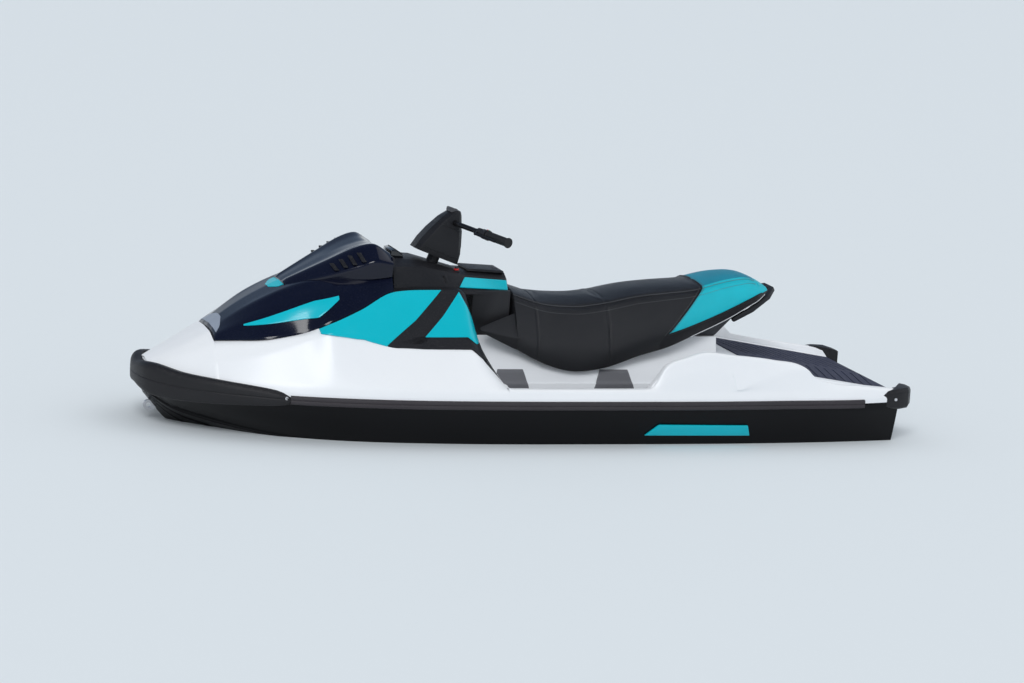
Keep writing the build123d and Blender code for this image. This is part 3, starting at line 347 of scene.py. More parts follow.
def merged_copy(node, name):
    """A copy of a CAD node with its loose triangles merged and its flat faces joined."""
    source = frame["nodes"][node]
    copy = source.copy()
    copy.data = source.data.copy()
    copy.parent = None
    for key in [k for k in copy.keys() if k.startswith("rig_")]:
        del copy[key]
    copy.name = copy.data.name = name
    bpy.context.scene.collection.objects.link(copy)
    pick(copy)
    bpy.ops.object.mode_set(mode="EDIT")
    bpy.ops.mesh.select_all(action="SELECT")
    bpy.ops.mesh.customdata_custom_splitnormals_clear()
    bpy.ops.mesh.remove_doubles(threshold=0.00005)
    bpy.ops.mesh.dissolve_limited(angle_limit=radians(1.0))
    bpy.ops.object.mode_set(mode="OBJECT")
    return copy


def meet(node, start, way):
    """Where a line from start first meets a CAD node, in millimetres."""
    mesh = frame["nodes"][node].data
    tree = BVHTree.FromPolygons([v.co for v in mesh.vertices], [tuple(p.vertices) for p in mesh.polygons])
    place = tree.ray_cast(Vector(start) * MM, Vector(way))[0]
    if place is None:
        raise RuntimeError(f"nothing of {node} on the line from {start}")
    return place / MM


def bar_between(name, start, end, radius, sides):
    """A round bar between two points, in millimetres, with its place in its mesh."""
    start, end = Vector(start) * MM, Vector(end) * MM
    settle()
    bpy.ops.mesh.primitive_cylinder_add(
        vertices=sides, radius=radius * MM, depth=(end - start).length, location=(0, 0, 0)
    )
    obj = named(name)
    turn = (end - start).to_track_quat("Z", "Y").to_matrix().to_4x4()
    obj.data.transform(Matrix.Translation((start + end) / 2) @ turn)
    return obj


def ring_along(points, outs, radii, sides=8):
    """Rings round a path, in millimetres. outs says which way is out of the surface at each point."""
    rows = []
    for i, (point, out, radius) in enumerate(zip(points, outs, radii)):
        ahead = Vector(points[min(i + 1, len(points) - 1)]) - Vector(points[max(i - 1, 0)])
        across = ahead.cross(out).normalized()
        up = across.cross(ahead).normalized()
        ring = [
            Vector(point) + (across * cos(a) + up * sin(a)) * radius for a in spread(0, 2 * pi, sides + 1)
        ]
        rows.append([tuple(p) for p in ring])
    return rows


def turned(name, start, end, profile, sides):
    """A piece turned round the line from start to end. profile gives distances from start and radii."""
    start, end = Vector(start), Vector(end)
    way = (end - start).normalized()
    across = way.cross(Vector((1, 0, 0)) if abs(way.z) > 0.9 else Vector((0, 0, 1))).normalized()
    up = across.cross(way)
    rows = []
    for distance, radius in profile:
        middle = start + way * distance
        rows.append([tuple(middle + (across * cos(a) + up * sin(a)) * radius)
                     for a in spread(0, 2 * pi, sides + 1)])
    return close_up(grid_piece(name, rows))


def plate(name, place, along, out, half_u, half_v, radius, steps, fill=True, arc=5):
    """A plate or frame with rounded corners on a face. steps gives growth and height of each loop."""
    place, along, out = Vector(place), Vector(along).normalized(), Vector(out).normalized()
    across = out.cross(along)
    rows = []
    for grow, height in steps:
        corner = max(radius + grow, 0.4)
        reach_u, reach_v = half_u + grow - corner, half_v + grow - corner
        loop = []
        for u, v, turn in ((1, 1, 0), (-1, 1, 90), (-1, -1, 180), (1, -1, 270)):
            for k in range(arc + 1):
                a = radians(turn + 90 * k / arc)
                loop.append((u * reach_u + corner * cos(a), v * reach_v + corner * sin(a)))
        loop.append(loop[0])
        rows.append([tuple(place + along * u + across * v + out * height) for u, v in loop])
    return close_up(grid_piece(name, rows), fill)


def resample(points, step):
    """Points at even distances along a line of points."""
    points = [Vector(p) for p in points]
    result, left = [points[0]], step
    for start, end in zip(points, points[1:]):
        length, at = (end - start).length, 0.0
        while length - at >= left:
            at += left
            result.append(start.lerp(end, at / length))
            left = step
        left -= length - at
    return result


def joined(name, parts):
    """Several meshes joined into one piece."""
    settle()
    for part in parts:
        part.select_set(True)
    bpy.context.view_layer.objects.active = parts[0]
    bpy.ops.object.join()
    return named(name)


def srgb(red, green, blue):
    """A colour as scene values, from its 0 to 255 screen values."""
    return tuple(
        c / 255 / 12.92 if c <= 10 else ((c / 255 + 0.055) / 1.055) ** 2.4 for c in (red, green, blue)
    )


class CraftColours(bpy.types.PropertyGroup):
    """Colours of the craft's mouldings, panels and upholstery"""

    deck: FloatVectorProperty(
        name="Deck", description="Gelcoat of the deck", subtype="COLOR", size=3, min=0, max=1,
        default=srgb(232, 235, 239),
    )
    hull: FloatVectorProperty(
        name="Hull", description="Gelcoat of the hull", subtype="COLOR", size=3, min=0, max=1,
        default=srgb(11, 11, 14),
    )
    panels: FloatVectorProperty(
        name="Panels", description="Bright side panels, sponsons and seat tail", subtype="COLOR", size=3,
        min=0, max=1, default=srgb(0, 180, 197),
    )
    hood: FloatVectorProperty(
        name="Hood", description="Hood and cowl", subtype="COLOR", size=3, min=0, max=1,
        default=srgb(12, 16, 34),
    )
    vinyl: FloatVectorProperty(
        name="Seat", description="Vinyl of the seat", subtype="COLOR", size=3, min=0, max=1,
        default=srgb(25, 25, 28),
    )
    mats: FloatVectorProperty(
        name="Mats", description="Traction mats", subtype="COLOR", size=3, min=0, max=1,
        default=srgb(50, 54, 78),
    )


class CraftSizes(bpy.types.PropertyGroup):
    """Sizes of the skins, seams and fittings"""

    skin: FloatProperty(
        name="Skin", description="How far the moulded skins stand out from the solids", default=0.0025,
        min=0.001, max=0.006, subtype="DISTANCE",
    )
    seam: FloatProperty(
        name="Seam depth", description="Depth of the seams in the seat", default=0.004, min=0.0, max=0.01,
        subtype="DISTANCE",
    )
    piping: FloatProperty(
        name="Piping", description="Radius of the piping on the seat", default=0.0035, min=0.001, max=0.008,
        subtype="DISTANCE",
    )
    hood_wall: FloatProperty(
        name="Hood wall", description="Wall of the hood's shell", default=0.008, min=0.003, max=0.012,
        subtype="DISTANCE",
    )


def new_node(tree, kind, values=None, **settings):
    """A shader node with its settings, and with values or other nodes' sockets on its inputs."""
    node = tree.nodes.new(kind)
    for key, value in settings.items():
        setattr(node, key, value)
    for socket, value in (values or {}).items():
        if isinstance(value, bpy.types.NodeSocket):
            tree.links.new(value, node.inputs[socket])
        else:
            node.inputs[socket].default_value = value
    return node


def worked_out(tree, operation, *values, **settings):
    """The output of a Math node on values or sockets, given in their order."""
    node = new_node(tree, "ShaderNodeMath", dict(enumerate(values)), operation=operation, **settings)
    return node.outputs[0]


def start_group(name, inputs, outputs):
    """A new shader node group with named sockets: (name, type, default). Gives its two ends too."""
    group = bpy.data.node_groups.new(name, "ShaderNodeTree")
    for label, kind, default in inputs:
        socket = group.interface.new_socket(label, in_out="INPUT", socket_type=kind)
        socket.default_value = default
    for label, kind in outputs:
        group.interface.new_socket(label, in_out="OUTPUT", socket_type=kind)
    return group, group.nodes.new("NodeGroupInput").outputs, group.nodes.new("NodeGroupOutput").inputs


def make_patina_group():
    """Slow changes of colour and roughness over a moulded or sewn surface, with fine dust."""
    group, given, put = start_group(
        "Patina",
        [("Colour", "NodeSocketColor", (0.5, 0.5, 0.5, 1)), ("Variation", "NodeSocketFloat", 0.06),
         ("Patch Scale", "NodeSocketFloat", 5.0), ("Roughness", "NodeSocketFloat", 0.4),
         ("Roughness Spread", "NodeSocketFloat", 0.1), ("Dust", "NodeSocketFloat", 0.05)],
        [("Colour", "NodeSocketColor"), ("Roughness", "NodeSocketFloat")],
    )
    place = new_node(group, "ShaderNodeTexCoord").outputs["Object"]
    broad = new_node(group, "ShaderNodeTexNoise", {
        "Vector": place, "Scale": given["Patch Scale"], "Detail": 5.0, "Roughness": 0.55,
    })
    fine = new_node(group, "ShaderNodeTexNoise", {
        "Vector": place, "Scale": 140.0, "Detail": 4.0, "Roughness": 0.7,
    })
    centred = worked_out(group, "SUBTRACT", broad.outputs["Fac"], 0.5)
    swing = worked_out(group, "MULTIPLY", centred, given["Variation"])
    value = worked_out(group, "MULTIPLY_ADD", swing, 2.0, 1.0)
    shade = new_node(group, "ShaderNodeHueSaturation", {"Value": value, "Color": given["Colour"]})

    specks = new_node(group, "ShaderNodeMapRange", {
        "Value": fine.outputs["Fac"], "From Min": 0.52, "From Max": 0.75,
    })
    shape = new_node(group, "ShaderNodeNewGeometry")
    upward = new_node(group, "ShaderNodeSeparateXYZ", {0: shape.outputs["Normal"]})
    lying = new_node(group, "ShaderNodeMapRange", {
        "Value": upward.outputs["Z"], "From Min": 0.1, "From Max": 0.9,
    })
    settled = worked_out(group, "MULTIPLY", specks.outputs[0], lying.outputs[0])
    dust = worked_out(group, "MULTIPLY", settled, given["Dust"])
    dusty = new_node(group, "ShaderNodeMix", {
        "Factor": dust, "A": shade.outputs["Color"], "B": (0.5, 0.48, 0.44, 1),
    }, data_type="RGBA")
    group.links.new(dusty.outputs["Result"], put["Colour"])
    rough = worked_out(group, "MULTIPLY_ADD", centred, given["Roughness Spread"], given["Roughness"])
    dulled = worked_out(group, "MULTIPLY_ADD", dust, 0.8, rough, use_clamp=True)
    group.links.new(dulled, put["Roughness"])


def make_grain_group():
    """Grain of vinyl, rubber or moulded plastic, as a height."""
    group, given, put = start_group(
        "Grain",
        [("Scale", "NodeSocketFloat", 300.0), ("Creases", "NodeSocketFloat", 0.3)],
        [("Height", "NodeSocketFloat")],
    )
    place = new_node(group, "ShaderNodeTexCoord").outputs["Object"]
    cells = new_node(group, "ShaderNodeTexVoronoi", {
        "Vector": place, "Scale": given["Scale"],
    }, feature="DISTANCE_TO_EDGE")
    bumps = new_node(group, "ShaderNodeMapRange", {"Value": cells.outputs["Distance"], "From Max": 0.12})
    folds = new_node(group, "ShaderNodeTexNoise", {
        "Vector": place, "Scale": 18.0, "Detail": 3.0, "Distortion": 0.8,
    })
    height = worked_out(group, "MULTIPLY_ADD", folds.outputs["Fac"], given["Creases"], bumps.outputs[0])
    group.links.new(height, put["Height"])


def make_tread_group():
    """Rows of raised chevrons with open grooves, as a height and a mask that paints shade into the grooves.
    """
    group, given, put = start_group(
        "Tread",
        [("Pitch", "NodeSocketFloat", 0.03), ("Groove", "NodeSocketFloat", 0.2),
         ("Rake", "NodeSocketFloat", 0.5)],
        [("Height", "NodeSocketFloat"), ("Groove Shade Mask", "NodeSocketFloat")],
    )
    place = new_node(group, "ShaderNodeTexCoord")
    axes = new_node(group, "ShaderNodeSeparateXYZ", {0: place.outputs["Object"]}).outputs
    across = worked_out(group, "PINGPONG", axes["Y"], 0.16)
    slanted = worked_out(group, "MULTIPLY_ADD", across, given["Rake"], axes["X"])
    counted = worked_out(group, "DIVIDE", slanted, given["Pitch"])
    wave = worked_out(group, "PINGPONG", worked_out(group, "FRACT", counted), 0.5)
    ridge = new_node(group, "ShaderNodeMapRange", {
        "Value": wave, "From Min": 0.0, "From Max": given["Groove"],
    }, clamp=True).outputs[0]
    group.links.new(ridge, put["Height"])
    group.links.new(worked_out(group, "SUBTRACT", 1.0, ridge), put["Groove Shade Mask"])


def use_group(tree, name, values):
    """A shader node group placed in a material with its own values. Gives its outputs."""
    return new_node(tree, "ShaderNodeGroup", values, node_tree=bpy.data.node_groups[name]).outputs


def make_finish(name, colour, rough, metal=0.0, coat=0.0, coat_rough=0.06, specular=0.5, variation=0.06,
                patch=5.0, dust=0.04, grain=0.0, depth=0.0, creases=0.0, tread=None, edge=0.0):
    """A procedural material: patina on colour and roughness, grain or tread as bump, pale worn edges, painted
    shade in the tread's grooves.
    """
    material = bpy.data.materials.new(name)
    material.use_nodes = True
    tree = material.node_tree
    shader = tree.nodes["Principled BSDF"]
    shader.inputs["Metallic"].default_value = metal
    shader.inputs["Specular IOR Level"].default_value = specular
    shader.inputs["Coat Weight"].default_value = coat
    shader.inputs["Coat Roughness"].default_value = coat_rough
    patina = use_group(tree, "Patina", {
        "Colour": (*colour, 1), "Variation": variation, "Patch Scale": patch, "Roughness": rough,
        "Dust": dust,
    })
    shade = patina["Colour"]
    if edge:
        shape = new_node(tree, "ShaderNodeNewGeometry")
        worn = new_node(tree, "ShaderNodeMapRange", {
            "Value": shape.outputs["Pointiness"], "From Min": 0.53, "From Max": 0.62, "To Max": edge,
        })
        lighter = [min(1, c * 1.6 + 0.12) for c in colour]
        shade = new_node(tree, "ShaderNodeMix", {
            "Factor": worn.outputs[0], "A": shade, "B": (*lighter, 1),
        }, data_type="RGBA").outputs["Result"]
    height = None
    if grain:
        height = use_group(tree, "Grain", {"Scale": grain, "Creases": creases})["Height"]
    if tread:
        pattern = use_group(tree, "Tread", {"Pitch": tread[0], "Groove": tread[1], "Rake": tread[2]})
        height = pattern["Height"]
        # The tread's grooves are painted darker: painted shade
        groove_shade = [c * 0.45 for c in colour]
        shade = new_node(tree, "ShaderNodeMix", {
            "Factor": pattern["Groove Shade Mask"], "A": shade, "B": (*groove_shade, 1),
        }, data_type="RGBA").outputs["Result"]
    if height:
        bump = new_node(tree, "ShaderNodeBump", {"Strength": 0.6, "Distance": depth, "Height": height})
        tree.links.new(bump.outputs["Normal"], shader.inputs["Normal"])
    tree.links.new(shade, shader.inputs["Base Color"])
    tree.links.new(patina["Roughness"], shader.inputs["Roughness"])


def make_finishes():
    """Every finish of the craft, with its colours from the panel's properties where it has some."""
    colours = bpy.context.scene.craft_colours
    make_patina_group()
    make_grain_group()
    make_tread_group()
    make_finish("white gelcoat", colours.deck, 0.34, coat=0.2, coat_rough=0.22, specular=0.35, variation=0.03,
                patch=3.0, dust=0.05)
    make_finish("black gelcoat", colours.hull, 0.2, specular=0.16, variation=0.3, patch=3.0, dust=0.02)
    make_finish("hood lacquer", colours.hood, 0.13, coat=0.12, specular=0.3, variation=0.3, patch=4.0,
                dust=0.02)
    make_finish("teal panels", colours.panels, 0.22, coat=0.15, specular=0.3, variation=0.10, patch=4.0,
                dust=0.02)
    make_finish("teal vinyl", colours.panels, 0.42, variation=0.14, patch=8.0, grain=650, depth=0.0004,
                creases=1.2, dust=0.03, specular=0.35)
    # Darker teal for the tail's crown panel: a painted reflection
    make_finish("teal vinyl painted reflection", srgb(0, 132, 158), 0.45, variation=0.14, patch=8.0, grain=650,
                depth=0.0004, creases=1.2, dust=0.03, specular=0.3)
    make_finish("seat vinyl", colours.vinyl, 0.36, variation=0.3, patch=7.0, grain=650, depth=0.0005,
                creases=1.5, dust=0.03, specular=0.4)
    make_finish("seat stitching", srgb(96, 98, 102), 0.7, variation=0.2, grain=1500, depth=0.0002)
    make_finish("piping", srgb(22, 22, 25), 0.35, specular=0.4, variation=0.2, grain=900, depth=0.0002)
    # Pale bead along the tail's lower edge: a painted highlight
    make_finish("pale line", srgb(205, 208, 212), 0.35, specular=0.4, variation=0.1, grain=900, depth=0.0001)
    make_finish("bumper rubber", srgb(27, 26, 29), 0.48, specular=0.35, variation=0.3, patch=6.0, grain=420,
                depth=0.0003, creases=0.5, dust=0.10, edge=0.06)
    make_finish("rail rubber", srgb(54, 50, 54), 0.5, specular=0.35, variation=0.2, patch=6.0, grain=420,
                depth=0.0003, creases=0.4, dust=0.12)
    make_finish("moulded black", srgb(24, 24, 28), 0.45, specular=0.35, variation=0.25, grain=800,
                depth=0.0002, dust=0.06, edge=0.08)
    make_finish("moulded grey", srgb(64, 65, 70), 0.55, variation=0.15, grain=700, depth=0.0003, dust=0.1)
    make_finish("pale grey", srgb(142, 152, 168), 0.45, variation=0.12, grain=700, depth=0.0002, dust=0.06)
    # Grey of the plates on the footwell walls: painted shadows
    make_finish("footwell grey", srgb(104, 105, 110), 0.6, variation=0.12, grain=500, depth=0.0004, dust=0.1)
    make_finish("stern mat", colours.mats, 0.75, variation=0.2, grain=500, depth=0.0006, creases=0.3,
                dust=0.15)
    make_finish("footwell mat", srgb(62, 64, 72), 0.8, variation=0.2, tread=(0.011, 0.25, -0.7), depth=0.001,
                dust=0.15)
    make_finish("grip rubber", srgb(24, 24, 26), 0.6, variation=0.2, grain=900, depth=0.0003, dust=0.05)
    make_finish("black alloy", srgb(36, 36, 40), 0.35, metal=0.7, variation=0.15, grain=900, depth=0.0001)
    make_finish("cast alloy", srgb(150, 152, 156), 0.42, metal=0.9, variation=0.15, grain=350, depth=0.0003,
                dust=0.1, edge=0.2)
    make_finish("stainless", srgb(190, 190, 194), 0.25, metal=1.0, variation=0.08, grain=1200, depth=0.00005)
    make_finish("engine paint", srgb(70, 72, 76), 0.5, metal=0.3, variation=0.2, grain=300, depth=0.0004,
                dust=0.2)
    make_finish("display glass", srgb(10, 13, 18), 0.08, coat=0.6, variation=0.1, dust=0.02)
    make_finish("display marks", srgb(150, 205, 215), 0.3, variation=0.05, dust=0.0)
    make_finish("mirror face", srgb(170, 184, 205), 0.06, metal=1.0, variation=0.03, dust=0.02)
    make_finish("button red", srgb(190, 30, 32), 0.4, variation=0.1, grain=900, depth=0.0001)
    make_finish("button green", srgb(30, 130, 70), 0.4, variation=0.1, grain=900, depth=0.0001)
    make_finish("pale screw", srgb(205, 205, 208), 0.35, metal=0.7, variation=0.1, grain=900, depth=0.00005)


# Finishes of the CAD nodes that stay in view
NODE_FINISHES = {
    "hull": "black gelcoat", "stern_bumper_port": "bumper rubber", "stern_bumper_starboard": "bumper rubber",
    "sponson_port": "teal panels", "sponson_starboard": "teal panels", "console": "moulded black",
    "gauge": "display glass", "glove_lid": "moulded black", "seat_base": "moulded grey",
    "grab_handle": "moulded black",
    "footwell_mat_port": "footwell mat", "footwell_mat_starboard": "footwell mat", "stern_mat": "stern mat",
    "engine": "engine paint", "ride_plate": "cast alloy", "intake_grate": "cast alloy",
    "pump_housing": "cast alloy", "steering_nozzle": "cast alloy", "reverse_bucket": "cast alloy",
    "impeller": "stainless", "bow_eye": "stainless", "stern_eye_port": "stainless",
    "stern_eye_starboard": "stainless", "mirror_port": "mirror face", "mirror_starboard": "mirror face",
    "steering_column": "moulded black", "handlebar": "black alloy", "handlebar_cover": "moulded black",
    "brake_lever": "black alloy", "throttle_lever": "black alloy",
}
# CAD nodes whose edges are eased, with the width of the easing
EASED_NODES = {
    "stern_bumper_port": 5, "stern_bumper_starboard": 5, "console": 5, "glove_lid": 3, "seat_base": 8,
    "grab_handle": 6, "handlebar_cover": 6, "gauge": 3, "sponson_port": 5, "sponson_starboard": 5,
}


def front_line(table, x, proud):
    """The deck's section from the joint to the shoulder, with the crease of its side."""
    _, gunwale, cheek_y, cheek_z, shoulder_y, shoulder_z = fair(table, x)
    _, share, push = fair(CREASE, x)
    edge = breadth(x)
    foot = Vector((edge - GUNWALE_TURN + proud, gunwale + 1))
    cheek = Vector((cheek_y + 0.6 * proud, cheek_z + proud))
    crease = foot.lerp(cheek, share) + Vector((0.8, 0.6)) * push
    return [
        (edge + proud, BOND_Z + 3), (edge + proud, BOND_Z + LAND), foot, crease, cheek,
        (shoulder_y, shoulder_z + proud),
    ]


class CRAFT_OT_finishes(bpy.types.Operator):
    """Make every finish and give the plain nodes theirs"""

    bl_idname = "craft.finishes"
    bl_label = "Finishes"

    def execute(self, context):
        make_finishes()
        for node, finish in NODE_FINISHES.items():
            obj = frame["nodes"][node]
            if not obj.material_slots:
                obj.data.materials.append(None)
            for place in obj.material_slots:
                place.material = bpy.data.materials[finish]
        return {"FINISHED"}


NOSE_END = 1390         # where the foredeck's skin gives way to the flanks'
NOSE_RADII, NOSE_RUNS = (10, 14, 16, 30, 30), (1, 2, 10, 6, 8, 6)
FLANK_END = 206         # rear end of the flanks, at the front of the footwells
FLANK_RADII, FLANK_RUNS = (10, 14, 16, 30, 12), (1, 2, 10, 6, 8, 2)
FLANK_HEM = 40          # how far a flank runs on inboard, under hood and console
# Front of the console, and the half breadth that the hem reaches beside it
CONSOLE_FRONT, CONSOLE_HEM = 645, 155
# Black parts of a flank: from which station aft, and above which point of its section
BLACK_PARTS = ((336, 32), (985, 35))
SIDE_RADII, SIDE_RUNS = (10, 10, 12, 9, 12), (1, 2, 6, 6, 3, 4)
SIDE_RIM = 24           # from the joint in to the top of the side deck
SIDE_LEAN = 0.22        # how much further in that is for each millimetre above the gunwale
# Aft of its start a stronger crease climbs the side deck, from the gunwale to the top
CREASE_START, CREASE_FOOT, CREASE_HEAD = -800, -840, -1150
# The inner deck stays as it is inboard of this line, given as x and half breadth
INNER_EDGE = ((1290, 150), (860, 262), (200, 180))
INNER_NOSE = 1300       # ahead of here all of it is drawn in
TUCK_IN, TUCK_DOWN = 6, 4       # how far it is drawn in and down, under the skins


class CRAFT_OT_deck(bpy.types.Operator):
    """Smooth skins of the deck's nose, flanks and side decks over a rounded inner deck"""

    bl_idname = "craft.deck"
    bl_label = "Deck"

    def execute(self, context):
        proud = context.scene.craft_sizes.skin / MM
        self.nose(proud)
        self.flanks(proud)
        self.side_decks(proud)
        self.inner_deck()
        return {"FINISHED"}

    def nose(self, proud):
        """The foredeck's skin, from the bow to the flanks."""
        rows = []
        for x in spread(BOW_END, NOSE_END, 16):
            line = front_line(NOSE, x, proud)
            half = eased([*line, (0, line[-1][1] + 5)], NOSE_RADII, NOSE_RUNS)
            rows.append(both_halves(x, half))
        # The last row dips under the flanks' skin
        rows.append([(NOSE_END - 2, y, min(z, 350 + (z - 350) * 0.3)) for _, y, z in rows[-1]])
        nose = look_away(close_up(grid_piece("deck_nose", rows), fill=False), x=1.4, z=0.1)
        dress(thicken(nose, 3), "hull", "white gelcoat")

    def flanks(self, proud):
        """The deck's sides beside hood and console, white with black parts."""
        rows = []
        for x in spread(NOSE_END, FLANK_END, 76):
            line = front_line(FLANK, x, proud)
            hem_y = line[-1][0] - FLANK_HEM
            if x <= CONSOLE_FRONT:
                hem_y = min(hem_y, CONSOLE_HEM)
            half = eased([*line, (hem_y, line[-1][1] + 1)], FLANK_RADII, FLANK_RUNS)
            rows.append([(x, y, z) for y, z in half])
        flank = grid_piece("deck_flank_port", rows)
        flank.data.materials.append(bpy.data.materials["white gelcoat"])
        flank.data.materials.append(bpy.data.materials["moulded black"])
        for face in flank.data.polygons:
            row, column = divmod(min(face.vertices), len(rows[0]))
            x = rows[row][0][0]
            face.material_index = int(any(x < front and column > above for front, above in BLACK_PARTS))
        flank = look_away(close_up(flank, fill=False), x=0.8, z=0.2)
        pair(thicken(flank, 2), "deck_flank", "hull", ["white gelcoat", "moulded black"])

    def side_decks(self, proud):
        """The raised side decks beside the footwells, back to the stern."""
        rows = []
        for x in spread(FLANK_END, DECK_END, 124):
            top = fair(SIDE_TOPS, x)[1]
            edge = breadth(x)
            knuckle = min(GUNWALE, top - 4)
            outer = edge - SIDE_RIM - SIDE_LEAN * max(top - GUNWALE, 0)
            foot = Vector((edge - GUNWALE_TURN + proud, knuckle))
            crown = Vector((outer + 1, top + proud))
            share, push = 0.5, 3
            if x < CREASE_START:
                climb = (x - CREASE_HEAD) / (CREASE_FOOT - CREASE_HEAD) * -0.9 + 0.95
                share, push = min(0.96, max(0.04, climb)), 7
            # The crease fades where the side deck is low
            push *= max(0.0, min(1.0, (top - 262) / 60))
            crease = foot.lerp(crown, share) + Vector((1.0, 0.2)) * push
            half = eased(
                [(edge + proud, BOND_Z + 3), (edge + proud, BOND_Z + LAND), foot, crease, crown,
                 (outer - 34, top + proud), (outer - 38, top - 46)],
                SIDE_RADII, SIDE_RUNS,
            )
            rows.append([(x, y, z) for y, z in half])
        side = look_away(close_up(grid_piece("side_deck_port", rows), fill=False), y=0.5, z=0.15, x=-0.7)
        pair(thicken(side, 2), "side_deck", "hull", "white gelcoat")

    def inner_deck(self):
        """The solid deck with eased edges, drawn in where the skins cover it."""
        inner = merged_copy("deck", "inner_deck")
        for vertex in inner.data.vertices:
            x, y, z = vertex.co / MM
            ahead, above = x > FLANK_END - 2, z > BOND_Z + 10
            on_front = ahead and above and abs(y) > straight(INNER_EDGE, x)[1]
            on_side = not ahead and abs(y) > WELL_SIDE
            if on_front or on_side or x > INNER_NOSE:
                if abs(y) > TUCK_IN + 2:
                    vertex.co.y -= copysign(TUCK_IN * MM, y)
                if above:
                    vertex.co.z -= TUCK_DOWN * MM
        ease_edges(inner, 5, 3, 28)
        dress(inner, "hull", "white gelcoat", ["deck"], angle=30)


class CRAFT_OT_hull(bpy.types.Operator):
    """Smooth topsides and bottom of the hull, with spray rails at the chine"""

    bl_idname = "craft.hull"
    bl_label = "Hull"

    def execute(self, context):
        proud = context.scene.craft_sizes.skin / MM
        rows = []
        for x in spread(BOW_END, HULL_END, 150):
            _, chine_y, chine_z, keel_z = fair(BOTTOM, x)
            edge = breadth(x)
            front, half, widening = TUNNEL
            inboard = min(half, max(0.0, (front - x) * widening))

            def bottom(share, drop=0.0):
                return Vector((share * chine_y, keel_z + (chine_z - keel_z) * share - drop - proud))

            line = [bottom(inboard / chine_y)]
            for start in STRAKES:
                low = start + STRAKE_WIDTH
                line += [bottom(start), bottom(low, grown(x, *STRAKE_DEPTH)), bottom(low + STRAKE_BACK)]
            chine = bottom(1.0) + Vector((proud + 2, 0))
            rail = grown(x, *SPRAY_RAIL)
            land = Vector((edge + proud, BOND_Z - LAND))
            belly = chine.lerp(land, 0.45) + Vector((grown(x, *TOPSIDE_SWELL), 0))
            line += [chine + Vector((rail, -1)), chine + Vector((rail * 0.6, 9)), belly, land]
            line = eased([*line, (edge + proud, BOND_Z - 2)], HULL_RADII, HULL_RUNS, arc=3)
            rows.append([(x, y, z) for y, z in line])
        skin = look_away(close_up(grid_piece("topside_port", rows), fill=False), z=0.05)
        pair(thicken(skin, 2), "topside", "hull", "black gelcoat")
        return {"FINISHED"}


BUMPER_STEPS = 8
BUMPER_RADII, BUMPER_RUNS = (9, 10, 2, 2, 2, 12, 10), (1, 1, 2, 1, 1, 2, 1, 1)
RAIL_FRONT, RAIL_REAR = 1118, -1420
# Section of a rub rail: distance out from the joint, and height
RAIL = ((-4, 160), (9, 164), (13, 170), (13, 178), (9.5, 181), (13, 184), (13, 193), (8, 199), (-4, 201))
RAIL_RADII = (3, 3, 3, 2, 3, 3, 3)
# Screws in the bumpers: x, z
SCREWS = ((1135, 188), (-1470, 188), (-1580, 194))
SCREW_RADIUS, SCREW_HEIGHT = 7, 6


def rounded_path(stations, beyond):
    """Points along stations, one of them beyond the last, on a smooth curve through them."""
    path = []
    for stretch in zip((stations[0], *stations), stations, stations[1:], (*stations[2:], beyond)):
        for t in (k / BUMPER_STEPS for k in range(BUMPER_STEPS)):
            path.append([
                0.5 * (2 * b + (c - a) * t + (2 * a - 5 * b + 4 * c - d) * t * t
                       + (3 * b - a - 3 * c + d) * t ** 3)
                for a, b, c, d in zip(*stretch)
            ])
    return path + [stations[-1]]


class CRAFT_OT_bumpers(bpy.types.Operator):
    """Bow bumper, rub rails and their end screws"""

    bl_idname = "craft.bumpers"
    bl_label = "Bumpers and rails"

    def execute(self, context):
        self.bow_bumper()
        self.rails()
        self.screws()
        return {"FINISHED"}

    def bow_bumper(self):
        """One padded bumper round the bow, with a groove along its middle."""
        x, y, low, high = BUMPER[-2]
        path = rounded_path(BUMPER, (x, -y, low, high))
        path += [(x, -y, low, high) for x, y, low, high in reversed(path[:-1])]
        rows = []
        for i, (x, y, low, high) in enumerate(path):
            back, on = path[max(i - 1, 0)], path[min(i + 1, len(path) - 1)]
            way = Vector((on[0] - back[0], on[1] - back[1])).normalized()
            out = Vector((-way.y, way.x))
            mid = (low + high) / 2
            line = eased(
                [(-46, low + 2), (-10, low), (0, low + 16), (1.5, mid - 4), (-1.5, mid), (1.5, mid + 4),
                 (0, high - 18), (-16, high), (-46, high - 3)],
                BUMPER_RADII, BUMPER_RUNS, arc=3,
            )
            rows.append([(x + out.x * o, y + out.y * o, z) for o, z in line])
            rows[-1].append(rows[-1][0])
        bumper = close_up(grid_piece("bow_bumper_skin", rows))
        dress(bumper, "hull", "bumper rubber", ["bow_bumper"], angle=50)

    def rails(self):
        """The rub rails along the joint of hull and deck."""
        rows = []
        for x in spread(RAIL_FRONT, RAIL_REAR, 106):
            edge = breadth(x)
            line = eased([(edge + out, z) for out, z in RAIL], RAIL_RADII, (1,) * 8, arc=2)
            rows.append([(x, y, z) for y, z in line])
            rows[-1].append(rows[-1][0])
        rail = close_up(grid_piece("rub_rail_skin_port", rows))
        pair(rail, "rub_rail_skin", "hull", "rail rubber", ["rub_rail"], angle=50)

    def screws(self):
        """Screws at the ends of the bumpers."""
        screws = []
        for x, z in SCREWS:
            y = meet("bow_bumper" if x > 0 else "stern_bumper_port", (x, 700, z), (0, -1, 0)).y
            settle()
            bpy.ops.mesh.primitive_cylinder_add(
                vertices=20, radius=SCREW_RADIUS * MM, depth=SCREW_HEIGHT * MM
            )
            screw = named("screw")
            screw.data.transform(
                Matrix.Translation(Vector((x, y, z)) * MM) @ Matrix.Rotation(radians(90), 4, "X")
            )
            screws.append(ease_edges(screw, 1.2, 2))
        pair(joined("bumper_screws_port", screws), "bumper_screws", "hull", "pale screw")


